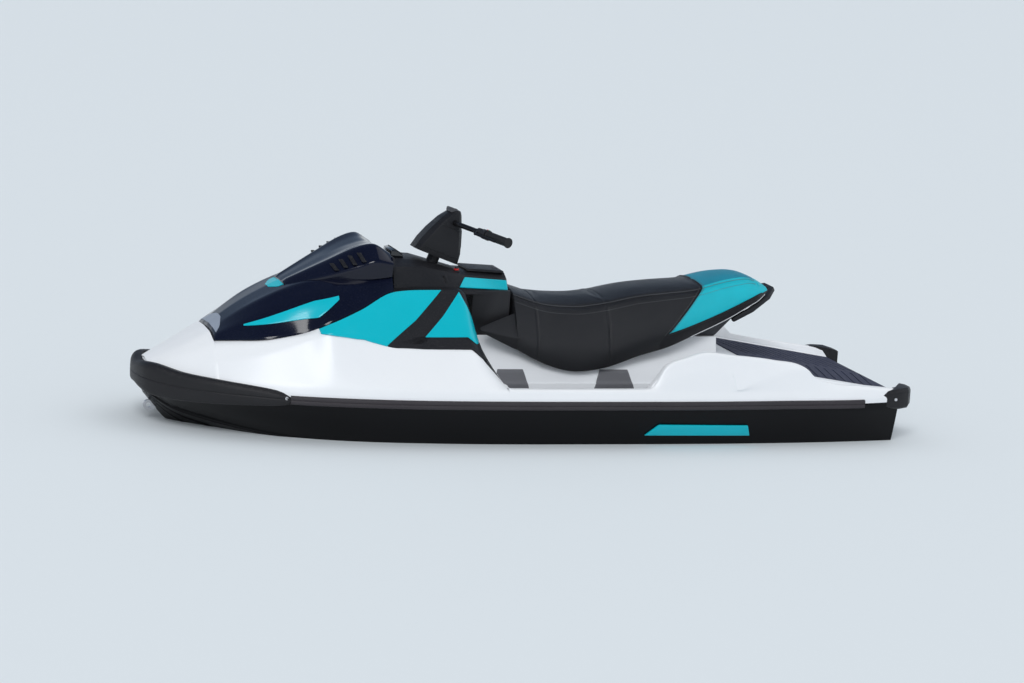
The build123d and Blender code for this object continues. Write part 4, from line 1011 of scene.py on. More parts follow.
HOOD_RADII, HOOD_RUNS = (6, 42, 16, 22), (1, 10, 8, 4, 6)
HOOD_END = HOOD[-1][0]
# How high the hood's section stands at its very front, as a share
HOOD_LIP = {1384: 0.25, 1381: 0.7, 1376: 0.92}
# Edges of the bright inlay on the hood's side: x, z
INLAY_LOW = ((1275, 440), (975, 497), (880, 573))
INLAY_HIGH = ((1275, 444), (985, 558), (885, 583))
# Half breadth of the patch ahead of the cowl and of the hood's tip
PATCH = ((1128, 30), (1100, 84), (1040, 86))
TIP = ((1372, 150), (1350, 120), (1330, 40))
COWL_RADII, COWL_RUNS = (14, 16, 12, 20), (6, 6, 1, 3, 4)
COWL_FOOT = 600
# How far the cowl's section is opened at its very front, as a share
COWL_NOSE = {1076: 0.0, 1070: 0.5}
SLATS = (868, 832, 796, 760)     # rear edges
SLAT_WIDTH = 18


def hood_line(x):
    """Outer section of the hood from its edge to the middle, with a raised ridge along the crown."""
    _, edge_y, side_y, side_z, crown_y, crown_z, top = fair(HOOD, x)
    low = fair(FLANK, min(x, 1385))[5] + 4
    return eased(
        [(edge_y, low), (edge_y - 3, low + 7), (side_y + 2, side_z),
         (crown_y, crown_z + grown(x, *HOOD_RIDGE)), (crown_y * 0.72, top - 3), (0, top + 2)],
        HOOD_RADII, HOOD_RUNS,
    )


def surface_y(line, z):
    """Half breadth of a section line at height z."""
    for (y0, z0), (y1, z1) in zip(line, line[1:]):
        if z0 <= z <= z1 and z1 > z0:
            return y0 + (y1 - y0) * (z - z0) / (z1 - z0)
    return line[-1][0] if z > line[-1][1] else line[0][0]


def panel_rows(section, lower, upper, xs, steps, out):
    """Rows of a panel that lies on a section's side, between two edges given as x, z."""
    rows = []
    for x in xs:
        line = section(x)
        low, high = straight(lower, x)[1], straight(upper, x)[1]
        row = []
        for z in spread(low, high, steps):
            y = surface_y(line, z)
            ahead = surface_y(line, z + 4)
            slope = Vector((4.0, y - ahead)).normalized()
            row.append((x, y + slope.x * out, z + slope.y * out))
        rows.append(row)
    return rows


def crown_rows(xs, reaches):
    """Rows of a thin piece that lies on the hood's crown, out to a half breadth given at each x."""
    rows = []
    for x in xs:
        line = hood_line(x)
        half = []
        for y in spread(straight(reaches, x)[1], 0, 10):
            z = next(
                z0 + (z1 - z0) * (y0 - y) / (y0 - y1)
                for (y0, z0), (y1, z1) in zip(line, line[1:]) if y1 <= y <= y0 and y0 > y1
            )
            half.append((y, z + 2))
        rows.append(both_halves(x, half))
    return rows


class CRAFT_OT_hood(bpy.types.Operator):
    """Hood shell, its bright inlays, nose tip, crown patch and the raised cowl with its vents"""

    bl_idname = "craft.hood"
    bl_label = "Hood and cowl"

    def execute(self, context):
        self.shell(context.scene.craft_sizes.hood_wall / MM)
        self.patches()
        self.cowl()
        self.slats()
        return {"FINISHED"}

    def shell(self, wall):
        """The hood itself, open underneath."""
        rows = []
        for x in [*HOOD_LIP, *spread(1368, HOOD_END, 62)]:
            half = hood_line(x)
            low = half[0][1]
            half = [(y, low + (z - low) * HOOD_LIP.get(x, 1.0)) for y, z in half]
            rows.append(both_halves(x, half))
        shell = look_away(close_up(grid_piece("hood_shell", rows), fill=False), x=0.95, z=0.3)
        dress(thicken(shell, wall), "hood", "hood lacquer", ["hood"], angle=45)

    def patches(self):
        """Thin pieces on the hood: an inlay a side, the crown patch and the tip."""
        rows = panel_rows(hood_line, INLAY_LOW, INLAY_HIGH, spread(1270, 884, 40), 10, 3)
        inlay = look_away(close_up(grid_piece("hood_inlay_skin_port", rows), fill=False), x=1.0, z=0.4)
        ease_edges(thicken(inlay, 3.5), 1.2, 2)
        pair(inlay, "hood_inlay_skin", "hood", "teal panels", ["hood_inlay"])

        rows = crown_rows(spread(PATCH[0][0], PATCH[-1][0], 12), PATCH)
        patch = look_away(close_up(grid_piece("crown_patch", rows), fill=False), x=1.08, z=0.3)
        dress(thicken(patch, 2.4), "hood", "teal panels")
        rows = crown_rows(spread(TIP[0][0], TIP[-1][0], 8), TIP)
        tip = look_away(close_up(grid_piece("hood_tip", rows), fill=False), x=1.34, z=0.3)
        dress(thicken(tip, 2.4), "hood", "pale grey")

    def cowl(self):
        """The raised cowl behind the hood's crown."""
        rows = []
        for x in [*COWL_NOSE, *spread(1060, 652, 46), COWL[-1][0]]:
            _, half_y, side_z, top_y, top = fair(COWL, x)
            low = max(COWL_FOOT, hood_line(x)[-8][1] - 30)
            opened = 0.5 + COWL_NOSE.get(x, 1.0) / 2
            scoop = grown(x, *COWL_SCOOP)
            ring = eased(
                [(half_y - 14, low), (half_y, side_z - 4), (top_y + 14, top - 8), (top_y - 6, top),
                 (top_y * 0.6, top - 5 - scoop * 0.4), (0, top - 4 - scoop)],
                COWL_RADII, COWL_RUNS,
            )
            rows.append(both_halves(x, [(y, low + (z - low) * opened) for y, z in ring]))
            rows[-1].append(rows[-1][0])
        cowl = close_up(grid_piece("cowl_shell", rows))
        ease_edges(cowl, 3, 2, 60)
        dress(cowl, "hood", "hood lacquer", ["hood_cowl"], angle=50)

    def slats(self):
        """Slats over the vents in the cowl's sides."""
        slats = []
        for x in SLATS:
            _, half_y, side_z, top_y, top = fair(COWL, x)
            low_out, high_out = Vector((half_y + 2, side_z + 4)), Vector((top_y + 24, top - 16))
            line = [low_out.lerp(high_out, t) for t in spread(0.1, 0.8, 6)]
            rows = [
                [(x + shift + i * 3, y + stand, z) for i, (y, z) in enumerate(line)]
                for shift, stand in ((0, 3), (SLAT_WIDTH, 0))
            ]
            slat = look_away(close_up(grid_piece("slat", rows), fill=False), x=0.8, z=0.6)
            slats.append(ease_edges(thicken(slat, 5), 1, 2))
        pair(joined("cowl_slats_port", slats), "cowl_slats", "hood", "moulded black")


PANEL_WALL = 6
FLANK_SKIN = 2.5        # how far the flank's skin stands out from the solid
# How far the panels stand out from the flank's skin
TEAL_PROUD, BLACK_PROUD = 7, 5
FLANK_TOP = 604         # top of the panels beside the console
# Panels on the flank: name, node, finish, slot, lower edge as x, z from front to rear, upper edge.
# Without an upper edge a panel reaches the shoulder.
PANELS = (
    ("fairing_skin", "fairing", "teal panels", "teal",
     ((982, 440), (930, 440), (800, 424), (700, 398), (560, 492), (432, FLANK_TOP)), None),
    ("fairing_trim_skin", "fairing_trim", "moulded black", "trim_black",
     ((690, 396), (545, 394), (430, 508), (352, 600)),
     ((690, 405), (560, 497), (432, FLANK_TOP), (420, FLANK_TOP), (352, FLANK_TOP))),
    ("knee_panel_skin", "knee_panel", "teal panels", "teal",
     ((528, 428), (340, 428), (300, 398), (262, 398)),
     ((528, 430), (440, 506), (352, 598), (262, 598))),
    ("fairing_band_skin", None, "moulded black", "trim_black",
     ((700, 392), (545, 386), (330, 384), (262, 330)),
     ((700, 402), (545, 432), (330, 432), (262, 402))),
)
# Edges of the panel on the console's flank: x, z
CONSOLE_PANEL_LOW = ((322, 603), (97, 588))
CONSOLE_PANEL_HIGH = ((322, 606), (292, 639), (97, 625))


class CRAFT_OT_fairings(bpy.types.Operator):
    """Bright and black panels on the flanks, between hood, console and seat"""

    bl_idname = "craft.fairings"
    bl_label = "Fairings"

    def execute(self, context):
        def flank(x):
            line = front_line(FLANK, x, FLANK_SKIN)
            return eased(line[3:], (30,), (2, 12))

        def shoulder(x):
            return flank(x)[-1][1] - 2

        for stem, node, finish, slot, lower, upper in PANELS:
            start, end = lower[0][0], lower[-1][0]
            top = upper or tuple((x, shoulder(x)) for x in spread(end, start, 12))
            top = tuple((x, min(z, shoulder(x))) for x, z in top)
            proud = TEAL_PROUD if slot == "teal" else BLACK_PROUD
            rows = panel_rows(flank, lower, top, spread(start, end, 60), 12, proud)
            panel = look_away(close_up(grid_piece(f"{stem}_port", rows), fill=False), x=0.6, z=0.4)
            thicken(panel, PANEL_WALL)
            ease_edges(panel, 2, 2, 50)
            pair(panel, stem, "hull", finish, [node] if node else ())

        def console_side(x):
            _, base_y, base_z, shoulder_y, shoulder_z, _ = straight(CONSOLE, x)
            return [(base_y, base_z), (shoulder_y, shoulder_z)]

        xs = spread(CONSOLE_PANEL_LOW[0][0], CONSOLE_PANEL_LOW[-1][0] + 1, 30)
        rows = panel_rows(console_side, CONSOLE_PANEL_LOW, CONSOLE_PANEL_HIGH, xs, 8, 6)
        panel = look_away(close_up(grid_piece("console_flank_skin_port", rows), fill=False), x=0.2, z=0.6)
        ease_edges(thicken(panel, 5), 2, 2, 50)
        pair(panel, "console_flank_skin", "hull", "teal panels", ["console_flank"])
        return {"FINISHED"}


SEAT_FRONT, SEAT_REAR = 83, -1108
SEAT_RADII, SEAT_RUNS, SEAT_ARC = (5, 30, 60, 26, 40), (1, 7, 8, 8, 7, 5), 5
# Places in the outer section, counted from its foot: corners of belly and shoulder, middle line
SEAT_BELLY, SEAT_SHOULDER = 15, 39
SEAT_MIDDLE = sum(SEAT_RUNS) + SEAT_ARC * len(SEAT_RADII)
SECTION_STEP = 4
SIDE_SWELL = (9, 5)     # how far the side stands out between belly and shoulder, and how far up
PEDESTAL_ROOM = -860    # the seat is hollow over the pedestal from its front to here
# Section of that hollow: half breadth, least height, least wall above the seat's foot
HOLLOW = ((184, 346, 6), (173, 402, 8), (0, 402, 8))
CROSS_SEAMS = (-20, -345)
SHOULDER_SEAM_HALF, SHOULDER_SEAM_END = 55, -1060
SEAM_CORE = 420         # height of the line that the seams sink towards
# The joint of the two vinyls: where it starts at the seat's side, the heights between which it
# leans aft, and how far it goes aft for each millimetre up
TAIL_JOINT = -575
TAIL_LOW, TAIL_HIGH = 385, 616
TAIL_LEAN = 215 / 231
# Ends of the lean along the seat, and the lengths over which it fades
LEAN_REAR, LEAN_FRONT = (-1060, 300), (-330, 200)
# The tail's darker panel on the crown is a painted reflection: it lies inboard of this place of the section
# and ends at this x
CROWN_REFLECTION, CROWN_REFLECTION_END = SEAT_SHOULDER + 4, -1040
PAD_FRAMES, PAD_LIMIT = 20, 8
# Lines along the seat: place of the section, front, rear, number of points
BELLY_PIPING = (SEAT_BELLY, TAIL_JOINT, -1070, 90)
# Pale bead low on the tail's side: a painted highlight
HIGHLIGHT_LINE = (3, -700, -1085, 70)
STITCH_LINES = ((SEAT_SHOULDER - 2, 76, -1010, 260), (SEAT_SHOULDER + 3, 76, -1010, 260))
TAIL_STITCHES = (-9, 9)         # distances ahead of the joint of the vinyls
STITCH, STITCH_GAP = 6, 3
THREAD, THREAD_LIFT = 0.75, 0.7         # radius, how far a stitch stands out
# Forward ear of the seat's skirt: section at the seat's front, section at the tip, distance between them
EAR_ROOT = ((232, 352), (245, 400), (192, 500), (176, 490), (200, 400), (212, 352))
EAR_TIP = ((236, 427), (243, 434), (236, 447), (230, 445), (228, 436), (231, 429))
EAR_LENGTH = 160


def seat_outer(x):
    """Outer section of the seat from its foot to the middle."""
    _, foot_y, foot_z, belly_y, belly_z, shoulder_y, shoulder_z, crown = fair(SEAT, x)
    out, up = SIDE_SWELL
    return eased(
        [(foot_y - 9, foot_z + 1), (foot_y + 1, foot_z + 4), (belly_y, belly_z + 4),
         ((belly_y + shoulder_y) / 2 + out, (belly_z + shoulder_z) / 2 + up),
         (shoulder_y + 1, shoulder_z + 1), (shoulder_y * 0.45, crown), (0, crown + 2)],
        SEAT_RADII, SEAT_RUNS, SEAT_ARC,
    )


@lru_cache(maxsize=None)
def seat_section(step):
    """The seat's outer section, counted in steps from its front."""
    return seat_outer(SEAT_FRONT - SECTION_STEP * step)


@lru_cache(maxsize=None)
def seat_heights(step):
    """Heights of belly and shoulder, counted in steps from the seat's front."""
    row = fair(SEAT, SEAT_FRONT - SECTION_STEP * step)
    return row[4], row[6]


def seat_point(x, index):
    """Half breadth and height of the seat's outer skin at one place of its section."""
    step, share = divmod((SEAT_FRONT - x) / SECTION_STEP, 1)
    return seat_section(int(step))[index].lerp(seat_section(int(step) + 1)[index], share)


def seat_place(x0, index):
    """A point of the seat's outer skin. Near the tail the sections lean with the joint of the vinyls."""
    (rear, rear_fade), (front, front_fade) = LEAN_REAR, LEAN_FRONT
    lean = TAIL_LEAN * max(0.0, min(1.0, (x0 - rear) / rear_fade, (front - x0) / front_fade))
    x = x0
    for _ in range(4):
        y, z = seat_point(max(x, SEAT_REAR), index)
        x = x0 - lean * (min(max(z, TAIL_LOW), TAIL_HIGH) - TAIL_LOW)
    return max(x, SEAT_REAR), y, z


def seat_ring(x0):
    """A closed ring of the seat: its outer skin and the hollow over the pedestal."""
    outer = [seat_place(x0, index) for index in range(SEAT_MIDDLE + 1)]
    x, foot_y, foot_z = outer[0]
    if x > PEDESTAL_ROOM:
        inner = [(max(foot_y - 14, 236) if foot_z < 300 else foot_y - 12, foot_z + 3)]
        inner += [(y, max(foot_z + wall, z)) for y, z, wall in HOLLOW]
    else:
        inner = [(y, foot_z + 2) for y in (foot_y - 12, foot_y * 0.7, foot_y * 0.4, 0)]
    inner = [(x, y, z) for y, z in inner]
    loop = outer + [(px, -py, pz) for px, py, pz in reversed(outer[:-1])]
    loop += [(px, -py, pz) for px, py, pz in inner] + list(reversed(inner[:-1]))
    return [*loop, loop[0]]


def on_seat(places, side):
    """Points of the seat's skin, given as station and place of the section, with the way out at each."""
    points, outs = [], []
    for x0, index in places:
        x, y, z = seat_place(x0, index)
        before, after = seat_place(x0, index - 1), seat_place(x0, index + 1)
        points.append(Vector((x, side * y, z)))
        outs.append(Vector((0, side * (after[2] - before[2]), before[1] - after[1])).normalized())
    return points, outs


def seat_path(index, start, end, count, side):
    """Points along the seat at one place of its section."""
    return on_seat([(x0, index) for x0 in spread(start, end, count)], side)


def tail_path(side, ahead=0):
    """Points along the joint of the two vinyls, or ahead of it, from the skirt to the crown."""
    return on_seat([(TAIL_JOINT + ahead, index) for index in range(SEAT_BELLY, SEAT_MIDDLE)], side)


def bead(name, points, outs, radius, proud):
    """A round bead that lies along a seam, with pointed ends."""
    places = [point + out * proud for point, out in zip(points, outs)]
    radii = [0.2, *[radius] * (len(places) - 2), 0.2]
    return close_up(grid_piece(name, ring_along(places, outs, radii)))


def stitches(name, points, outs):
    """A row of stitches: one thread that rises out of the vinyl and dives back into it."""
    places, ways, nearest = [], [], 0
    for k, point in enumerate(resample(points, 1.0)):
        while nearest + 1 < len(points) and (
            (points[nearest + 1] - point).length < (points[nearest] - point).length
        ):
            nearest += 1
        lift = THREAD_LIFT if k % (STITCH + STITCH_GAP) < STITCH else -2 * THREAD_LIFT
        places.append(point + outs[nearest] * lift)
        ways.append(outs[nearest])
    return close_up(grid_piece(name, ring_along(places, ways, [THREAD] * len(places), 5)))


def puff(obj):
    """Pads a closed cover by cloth pressure. Held points stay, and no point moves past the limit."""
    scene = bpy.context.scene
    limit = PAD_LIMIT * MM
    start = [vertex.co.copy() for vertex in obj.data.vertices]
    pick(obj)
    cloth = obj.modifiers.new("padding", "CLOTH")
    settings = cloth.settings
    settings.quality = 5
    settings.mass = 0.3
    settings.tension_stiffness = settings.compression_stiffness = 25
    settings.shear_stiffness = 10
    settings.bending_stiffness = 1.0
    settings.use_pressure = True
    settings.uniform_pressure_force = 4.0
    settings.vertex_group_mass = "held"
    settings.effector_weights.gravity = 0
    cloth.collision_settings.use_collision = False
    cloth.point_cache.frame_start, cloth.point_cache.frame_end = 1, PAD_FRAMES
    for step in range(1, PAD_FRAMES + 1):
        scene.frame_set(step)
    bpy.ops.object.modifier_apply(modifier=cloth.name)
    scene.frame_set(1)
    for vertex, before in zip(obj.data.vertices, start):
        move = vertex.co - before
        if move.length > limit:
            vertex.co = before + move.normalized() * limit


class CRAFT_OT_seat(bpy.types.Operator):
    """Upholstered seat in two vinyls, padded by a pressure simulation, with seams, piping and stitching"""

    bl_idname = "craft.seat"
    bl_label = "Seat"

    def execute(self, context):
        sizes = context.scene.craft_sizes
        self.cushion(sizes.seam)
        self.trim(sizes.piping / MM)
        self.ears()
        return {"FINISHED"}

    def cushion(self, seam):
        """The padded seat in one piece, with its vinyls and its sunk seams."""
        stations = spread(SEAT_FRONT, TAIL_JOINT, 76) + spread(TAIL_JOINT, SEAT_REAR, 63)[1:]
        rows = [seat_ring(x0) for x0 in stations]
        width = len(rows[0])
        seat = grid_piece("seat_cushion", rows)
        for finish in ("seat vinyl", "teal vinyl", "teal vinyl painted reflection", "moulded black"):
            seat.data.materials.append(bpy.data.materials[finish])
        for face in seat.data.polygons:
            row, column = divmod(min(face.vertices), width)
            place = min(column, 2 * SEAT_MIDDLE - 1 - column)
            x0 = stations[row]
            if column > 2 * SEAT_MIDDLE - 1 or x0 > TAIL_JOINT + 1:
                face.material_index = 0
            elif place < SEAT_BELLY:
                face.material_index = 3
            # The tail's crown panel, painted darker: a painted reflection
            elif place > CROWN_REFLECTION and x0 > CROWN_REFLECTION_END:
                face.material_index = 2
            else:
                face.material_index = 1
        held = []
        for index in range(len(seat.data.vertices)):
            row, column = divmod(index, width)
            place = min(column, 2 * SEAT_MIDDLE - column)
            x0 = stations[row]
            under = place < 6 or column > 2 * SEAT_MIDDLE or row in (0, len(rows) - 1)
            across = any(abs(x0 - line) < 5 for line in (*CROSS_SEAMS, TAIL_JOINT))
            along = place == SEAT_SHOULDER or place == SEAT_BELLY and x0 < TAIL_JOINT
            if under or across or along:
                held.append(index)
        seat.vertex_groups.new(name="held").add(held, 1.0, "REPLACE")
        close_up(seat)
        puff(seat)
        subdivide(seat)
        for vertex in seat.data.vertices:
            x, y, z = vertex.co / MM
            belly, shoulder = seat_heights(round((SEAT_FRONT - x) / SECTION_STEP))
            out = Vector((0, y, (z - SEAM_CORE) * 1.2)).normalized()
            depth = 0.0
            if z > belly - 60:
                for line_x in CROSS_SEAMS:
                    depth += exp(-((x - line_x) / 4) ** 2)
            if abs(y) > SHOULDER_SEAM_HALF and x > SHOULDER_SEAM_END:
                depth += exp(-((z - shoulder + 5) / 5) ** 2)
            vertex.co -= out * seam * min(depth, 1.2)
        pick(seat)
        bpy.ops.object.shade_smooth_by_angle(angle=radians(50))
        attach(seat, "seat")
        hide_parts("seat", "seat_tail")

    def trim(self, radius):
        """Piping, stitching and a pale line along the tail, which is a painted highlight."""
        beads, threads, highlight_lines = [], [], []
        for side in (1, -1):
            beads.append(bead("bead", *tail_path(side), radius, 0.6))
            beads.append(bead("bead", *seat_path(*BELLY_PIPING, side), radius, 0.6))
            highlight_lines.append(bead("line", *seat_path(*HIGHLIGHT_LINE, side), 2.2, 0.4))
            threads += [stitches("thread", *tail_path(side, ahead)) for ahead in TAIL_STITCHES]
            threads += [stitches("thread", *seat_path(*line, side)) for line in STITCH_LINES]
        dress(joined("seat_piping", beads), "seat", "piping", angle=60)
        dress(joined("seat_stitching", threads), "seat", "seat stitching", angle=60)
        dress(joined("tail_line", highlight_lines), "seat", "pale line", angle=60)

    def ears(self):
        """Forward ears of the seat's skirt."""
        rows = []
        for share in spread(-0.12, 1.0, 24):
            ring = [
                (SEAT_FRONT + EAR_LENGTH * share, *(a + (b - a) * max(share, 0) for a, b in zip(root, tip)))
                for root, tip in zip(EAR_ROOT, EAR_TIP)
            ]
            rows.append([*ring, ring[0]])
        ear = close_up(grid_piece("seat_ear_port", rows))
        ease_edges(ear, 4, 3, 20)
        pair(ear, "seat_ear", "seat", "seat vinyl", angle=50)


HANDLE_BEND = Vector((322, 118, 866))
HANDLE_END = Vector((196, 400, 838))
COLUMN_FOOT = Vector((400, 0, 705))
COLUMN_RAKE = radians(20)
COLUMN_UP = Vector((-sin(COLUMN_RAKE), 0, cos(COLUMN_RAKE)))
COLUMN_AHEAD = Vector((cos(COLUMN_RAKE), 0, sin(COLUMN_RAKE)))
GRIP_LENGTH, GRIP_RADIUS, GRIP_FLANGE = 128, 17.6, 22
RIB_STEP, RIB_HEIGHT = 9, 0.9
# Ends of switch pod and clamp, as shares of the way along the bar
POD_ENDS, CLAMP_ENDS = (0.475, 0.57), (0.385, 0.46)
# Profiles of turned pieces: distance from the start, radius
CLAMP_PROFILE = ((0, 0.5), (0, 16), (1.5, 18.5), (22, 18.5), (24, 16), (24, 0.5))
# Buttons of each side: share of the way along the bar, finish
BUTTONS = {
    "port": ((0.505, "button red"), (0.54, "button green")),
    "starboard": ((0.505, "moulded grey"), (0.54, "moulded grey")),
}
BUTTON_STAND = 19.5     # from the middle of the bar to the button's foot
# Plates: half length, half breadth, corner
BUTTON, PAD, BROW = (4.2, 4.2, 3.6), (44, 33, 12), (26, 32, 9)
# Edges of plates: growth and height of each loop
BUTTON_EDGE = ((0.6, 0), (0.6, 1.6), (0, 4.0), (-1.4, 5.0), (-3.4, 5.2))
PAD_EDGE = ((0.5, -5), (0.5, 2), (-1.5, 5), (-6, 6.4), (-16, 7.2), (-30, 7.6))
BROW_EDGE = ((1, -9), (1, 4), (-1, 7), (-5, 8.5), (-14, 9.5), (-24, 10))
PAD_MIDDLE = Vector((292.6, 0, 792))
BROW_MIDDLE = COLUMN_FOOT + COLUMN_UP * 221 - COLUMN_AHEAD * 4
BROW_OUT = COLUMN_UP * 0.93 + COLUMN_AHEAD * 0.12
# Handlebar cover: distance up the column, reach ahead and behind, half breadth, corner
COVER = (
    (12, 108, 98, 60, 16), (60, 96, 91, 65, 18), (112, 76, 74, 64, 18), (172, 46, 52, 56, 16),
    (214, 16, 36, 44, 13), (228, -2, 28, 34, 9),
)
COVER_ARC = 3           # steps of each corner round the cover
# Seams round the cover: distances up the column, radius, how far they stand out
SEAM_HEIGHTS, SEAM_RADIUS, SEAM_PROUD = (34, 150), 1.7, 0.3


def on_bar(share):
    """A point of the handlebar's port half, at a share of the way from its bend to its end."""
    return HANDLE_BEND.lerp(HANDLE_END, share)


def cover_loop(distance):
    """A closed loop round the handlebar cover at one distance up the column, and its ways out."""
    _, ahead, behind, half, corner = straight(COVER, distance)
    side = [
        (ahead, half - corner * 1.6), (ahead - corner, half), (corner - behind, half),
        (-behind, half - corner),
    ]
    outline = side + [(u, -v) for u, v in reversed(side)]
    outline = eased([*outline, *outline[:3]], (12,) * 9, (2,) * 10, COVER_ARC)
    turn = 2 + COVER_ARC
    middle = COLUMN_FOOT + COLUMN_UP * distance
    points, outs = [], []
    for u, v in outline[turn : 9 * turn + 1]:
        out = COLUMN_AHEAD * (u - (ahead - behind) / 2) + Vector((0, v, 0))
        points.append(middle + COLUMN_AHEAD * u + Vector((0, v, 0)) + out.normalized() * SEAM_PROUD)
        outs.append(out.normalized())
    return points, outs


class CRAFT_OT_steering(bpy.types.Operator):
    """Ribbed grips, switch pods and buttons, the padded handlebar cover and its seams"""

    bl_idname = "craft.steering"
    bl_label = "Steering"

    def execute(self, context):
        bar = HANDLE_END - HANDLE_BEND
        self.grips(bar.length)
        self.pods()
        self.buttons(bar.normalized())
        self.cover()
        return {"FINISHED"}

    def grips(self, bar_length):
        """Ribbed grips with a flange at each end."""
        start, end = on_bar(1 - GRIP_LENGTH / bar_length), on_bar(1.02)
        length = (end - start).length
        profile = [(0, 0.5), (0, 20), (1.5, GRIP_FLANGE), (4.5, GRIP_FLANGE), (6.5, 19)]
        for at in spread(10, length - 12, 76):
            profile.append((at, GRIP_RADIUS + RIB_HEIGHT * abs(sin(at * pi / RIB_STEP)) ** 0.5))
        profile += [
            (length - 9, 19), (length - 7, GRIP_FLANGE), (length - 2, GRIP_FLANGE), (length, 20),
            (length + 0.6, 12), (length + 0.6, 0.5),
        ]
        ribs = turned("grip_ribs_port", start, end, profile, 32)
        pair(ribs, "grip_ribs", "steering", "grip rubber", ["grip"], angle=30)

    def pods(self):
        """Switch pods with their clamps."""
        start, end = map(on_bar, POD_ENDS)
        length = (end - start).length
        profile = [(0, 0.5), (0, 17), (2, 20.5), (length - 2, 21.5), (length, 18), (length, 0.5)]
        pods = joined("switch_pods_port", [
            turned("pod", start, end, profile, 32),
            turned("pod", *map(on_bar, CLAMP_ENDS), CLAMP_PROFILE, 28),
        ])
        pair(pods, "switch_pods", "steering", "moulded black", angle=30)

    def buttons(self, along):
        """Buttons on the pods, facing the rider."""
        face = along.cross(Vector((0, 0, 1)).cross(along)).normalized()
        face = (face * 0.75 + Vector((-0.6, 0, 0))).normalized()
        for name, buttons in BUTTONS.items():
            side = Vector((1, 1 if name == "port" else -1, 1))
            for share, finish in buttons:
                place, way, out = on_bar(share) * side, along * side, face * side
                button = plate(
                    f"button_{finish.split()[1]}_{name}_{round(share * 1000)}",
                    place + out * BUTTON_STAND, way, out, *BUTTON, BUTTON_EDGE,
                )
                dress(button, "steering", finish, angle=50)

    def cover(self):
        """Pad, seams and brow of the handlebar cover."""
        pad = plate("cover_pad", PAD_MIDDLE, (0, 0, 1), (-1, 0, 0.01), *PAD, PAD_EDGE, arc=8)
        dress(pad, "steering", "moulded grey", angle=50)
        rims = []
        for distance in SEAM_HEIGHTS:
            points, outs = cover_loop(distance)
            rows = ring_along(points, outs, [SEAM_RADIUS] * len(points))
            rims.append(close_up(grid_piece("rim", rows), fill=False))
        dress(joined("cover_seams", rims), "steering", "piping", angle=60)
        brow = plate("cover_brow", BROW_MIDDLE, COLUMN_AHEAD, BROW_OUT, *BROW, BROW_EDGE, arc=6)
        dress(brow, "steering", "moulded grey", angle=50)


# Side wall of the footwells: z, half breadth
FOOT_SIDE = ((176, 245), (202, 245), (215, 236.5), (230, 233), (250, 228), (270, 216))
FOOT_LOW, FOOT_HIGH = 178, 262
# Grey plates on it, which are painted shadows: front and rear end at the lower edge, front and rear end at
# the upper edge
FOOT_SHADOWS = {
    "front_foot_panel": ((178, 8), (150, 36)),
    "rear_foot_panel": ((-285, -470), (-312, -440)),
}
GAUGE = Vector((571, 0, 736))
GAUGE_OUT = Vector((-24, 0, 38)).normalized()
GAUGE_UP = Vector((0, 1, 0)).cross(GAUGE_OUT).normalized()
BEZEL = (58, 20, 8)
BEZEL_EDGE = ((2.5, -6), (2.5, 2), (1, 3.6), (-2, 3.2), (-4, 0.6), (-4, -2))
MARK_EDGE = ((0, -1), (0, 0.5), (-0.5, 0.7))
LATCH_PLACE, LATCH = (124, 0, 664.4), (9, 24, 5)
LID_ALONG, LID_OUT = (1, 0, 0.049), (-0.049, 0, 0.9988)
LATCH_EDGE = ((1, -3), (1, 1.2), (0, 2.4), (-2, 2.8), (-4, 1.6), (-7, 1.4))
POST = (318, 84)        # the safety post on the console: x, y
POST_PROFILE = (
    (0, 0.5), (0, 15), (4, 15), (6, 13), (7, 7), (13, 6.5), (14, 8.5), (18, 8.5), (20, 6.5), (20, 0.5),
)
CLIP_PROFILE = ((0, 6.8), (0, 10), (1, 11), (6, 11), (7, 10), (7, 6.8))
MIRROR_PLACE, MIRROR = (640, 178, 716), (49, 20, 10)
MIRROR_EDGE = ((3.5, -4), (3.5, 2), (2, 4), (-0.5, 4), (-2, 2), (-2, -1))
DRAIN = (235, -60)      # drain plugs in the transom: half breadth, z
DRAIN_PROFILE = ((0, 0.5), (0, 20), (5, 20), (6, 18.5), (6, 15), (11, 14), (12, 12), (12, 0.5))


def gauge_mark(y, up, half_y, half_up, corner):
    """A plain raised mark on the gauge's face."""
    place = GAUGE + Vector((0, y, 0)) + GAUGE_UP * up + GAUGE_OUT * 0.2
    return plate("mark", place, (0, 1, 0), GAUGE_OUT, half_y, half_up, corner, MARK_EDGE)


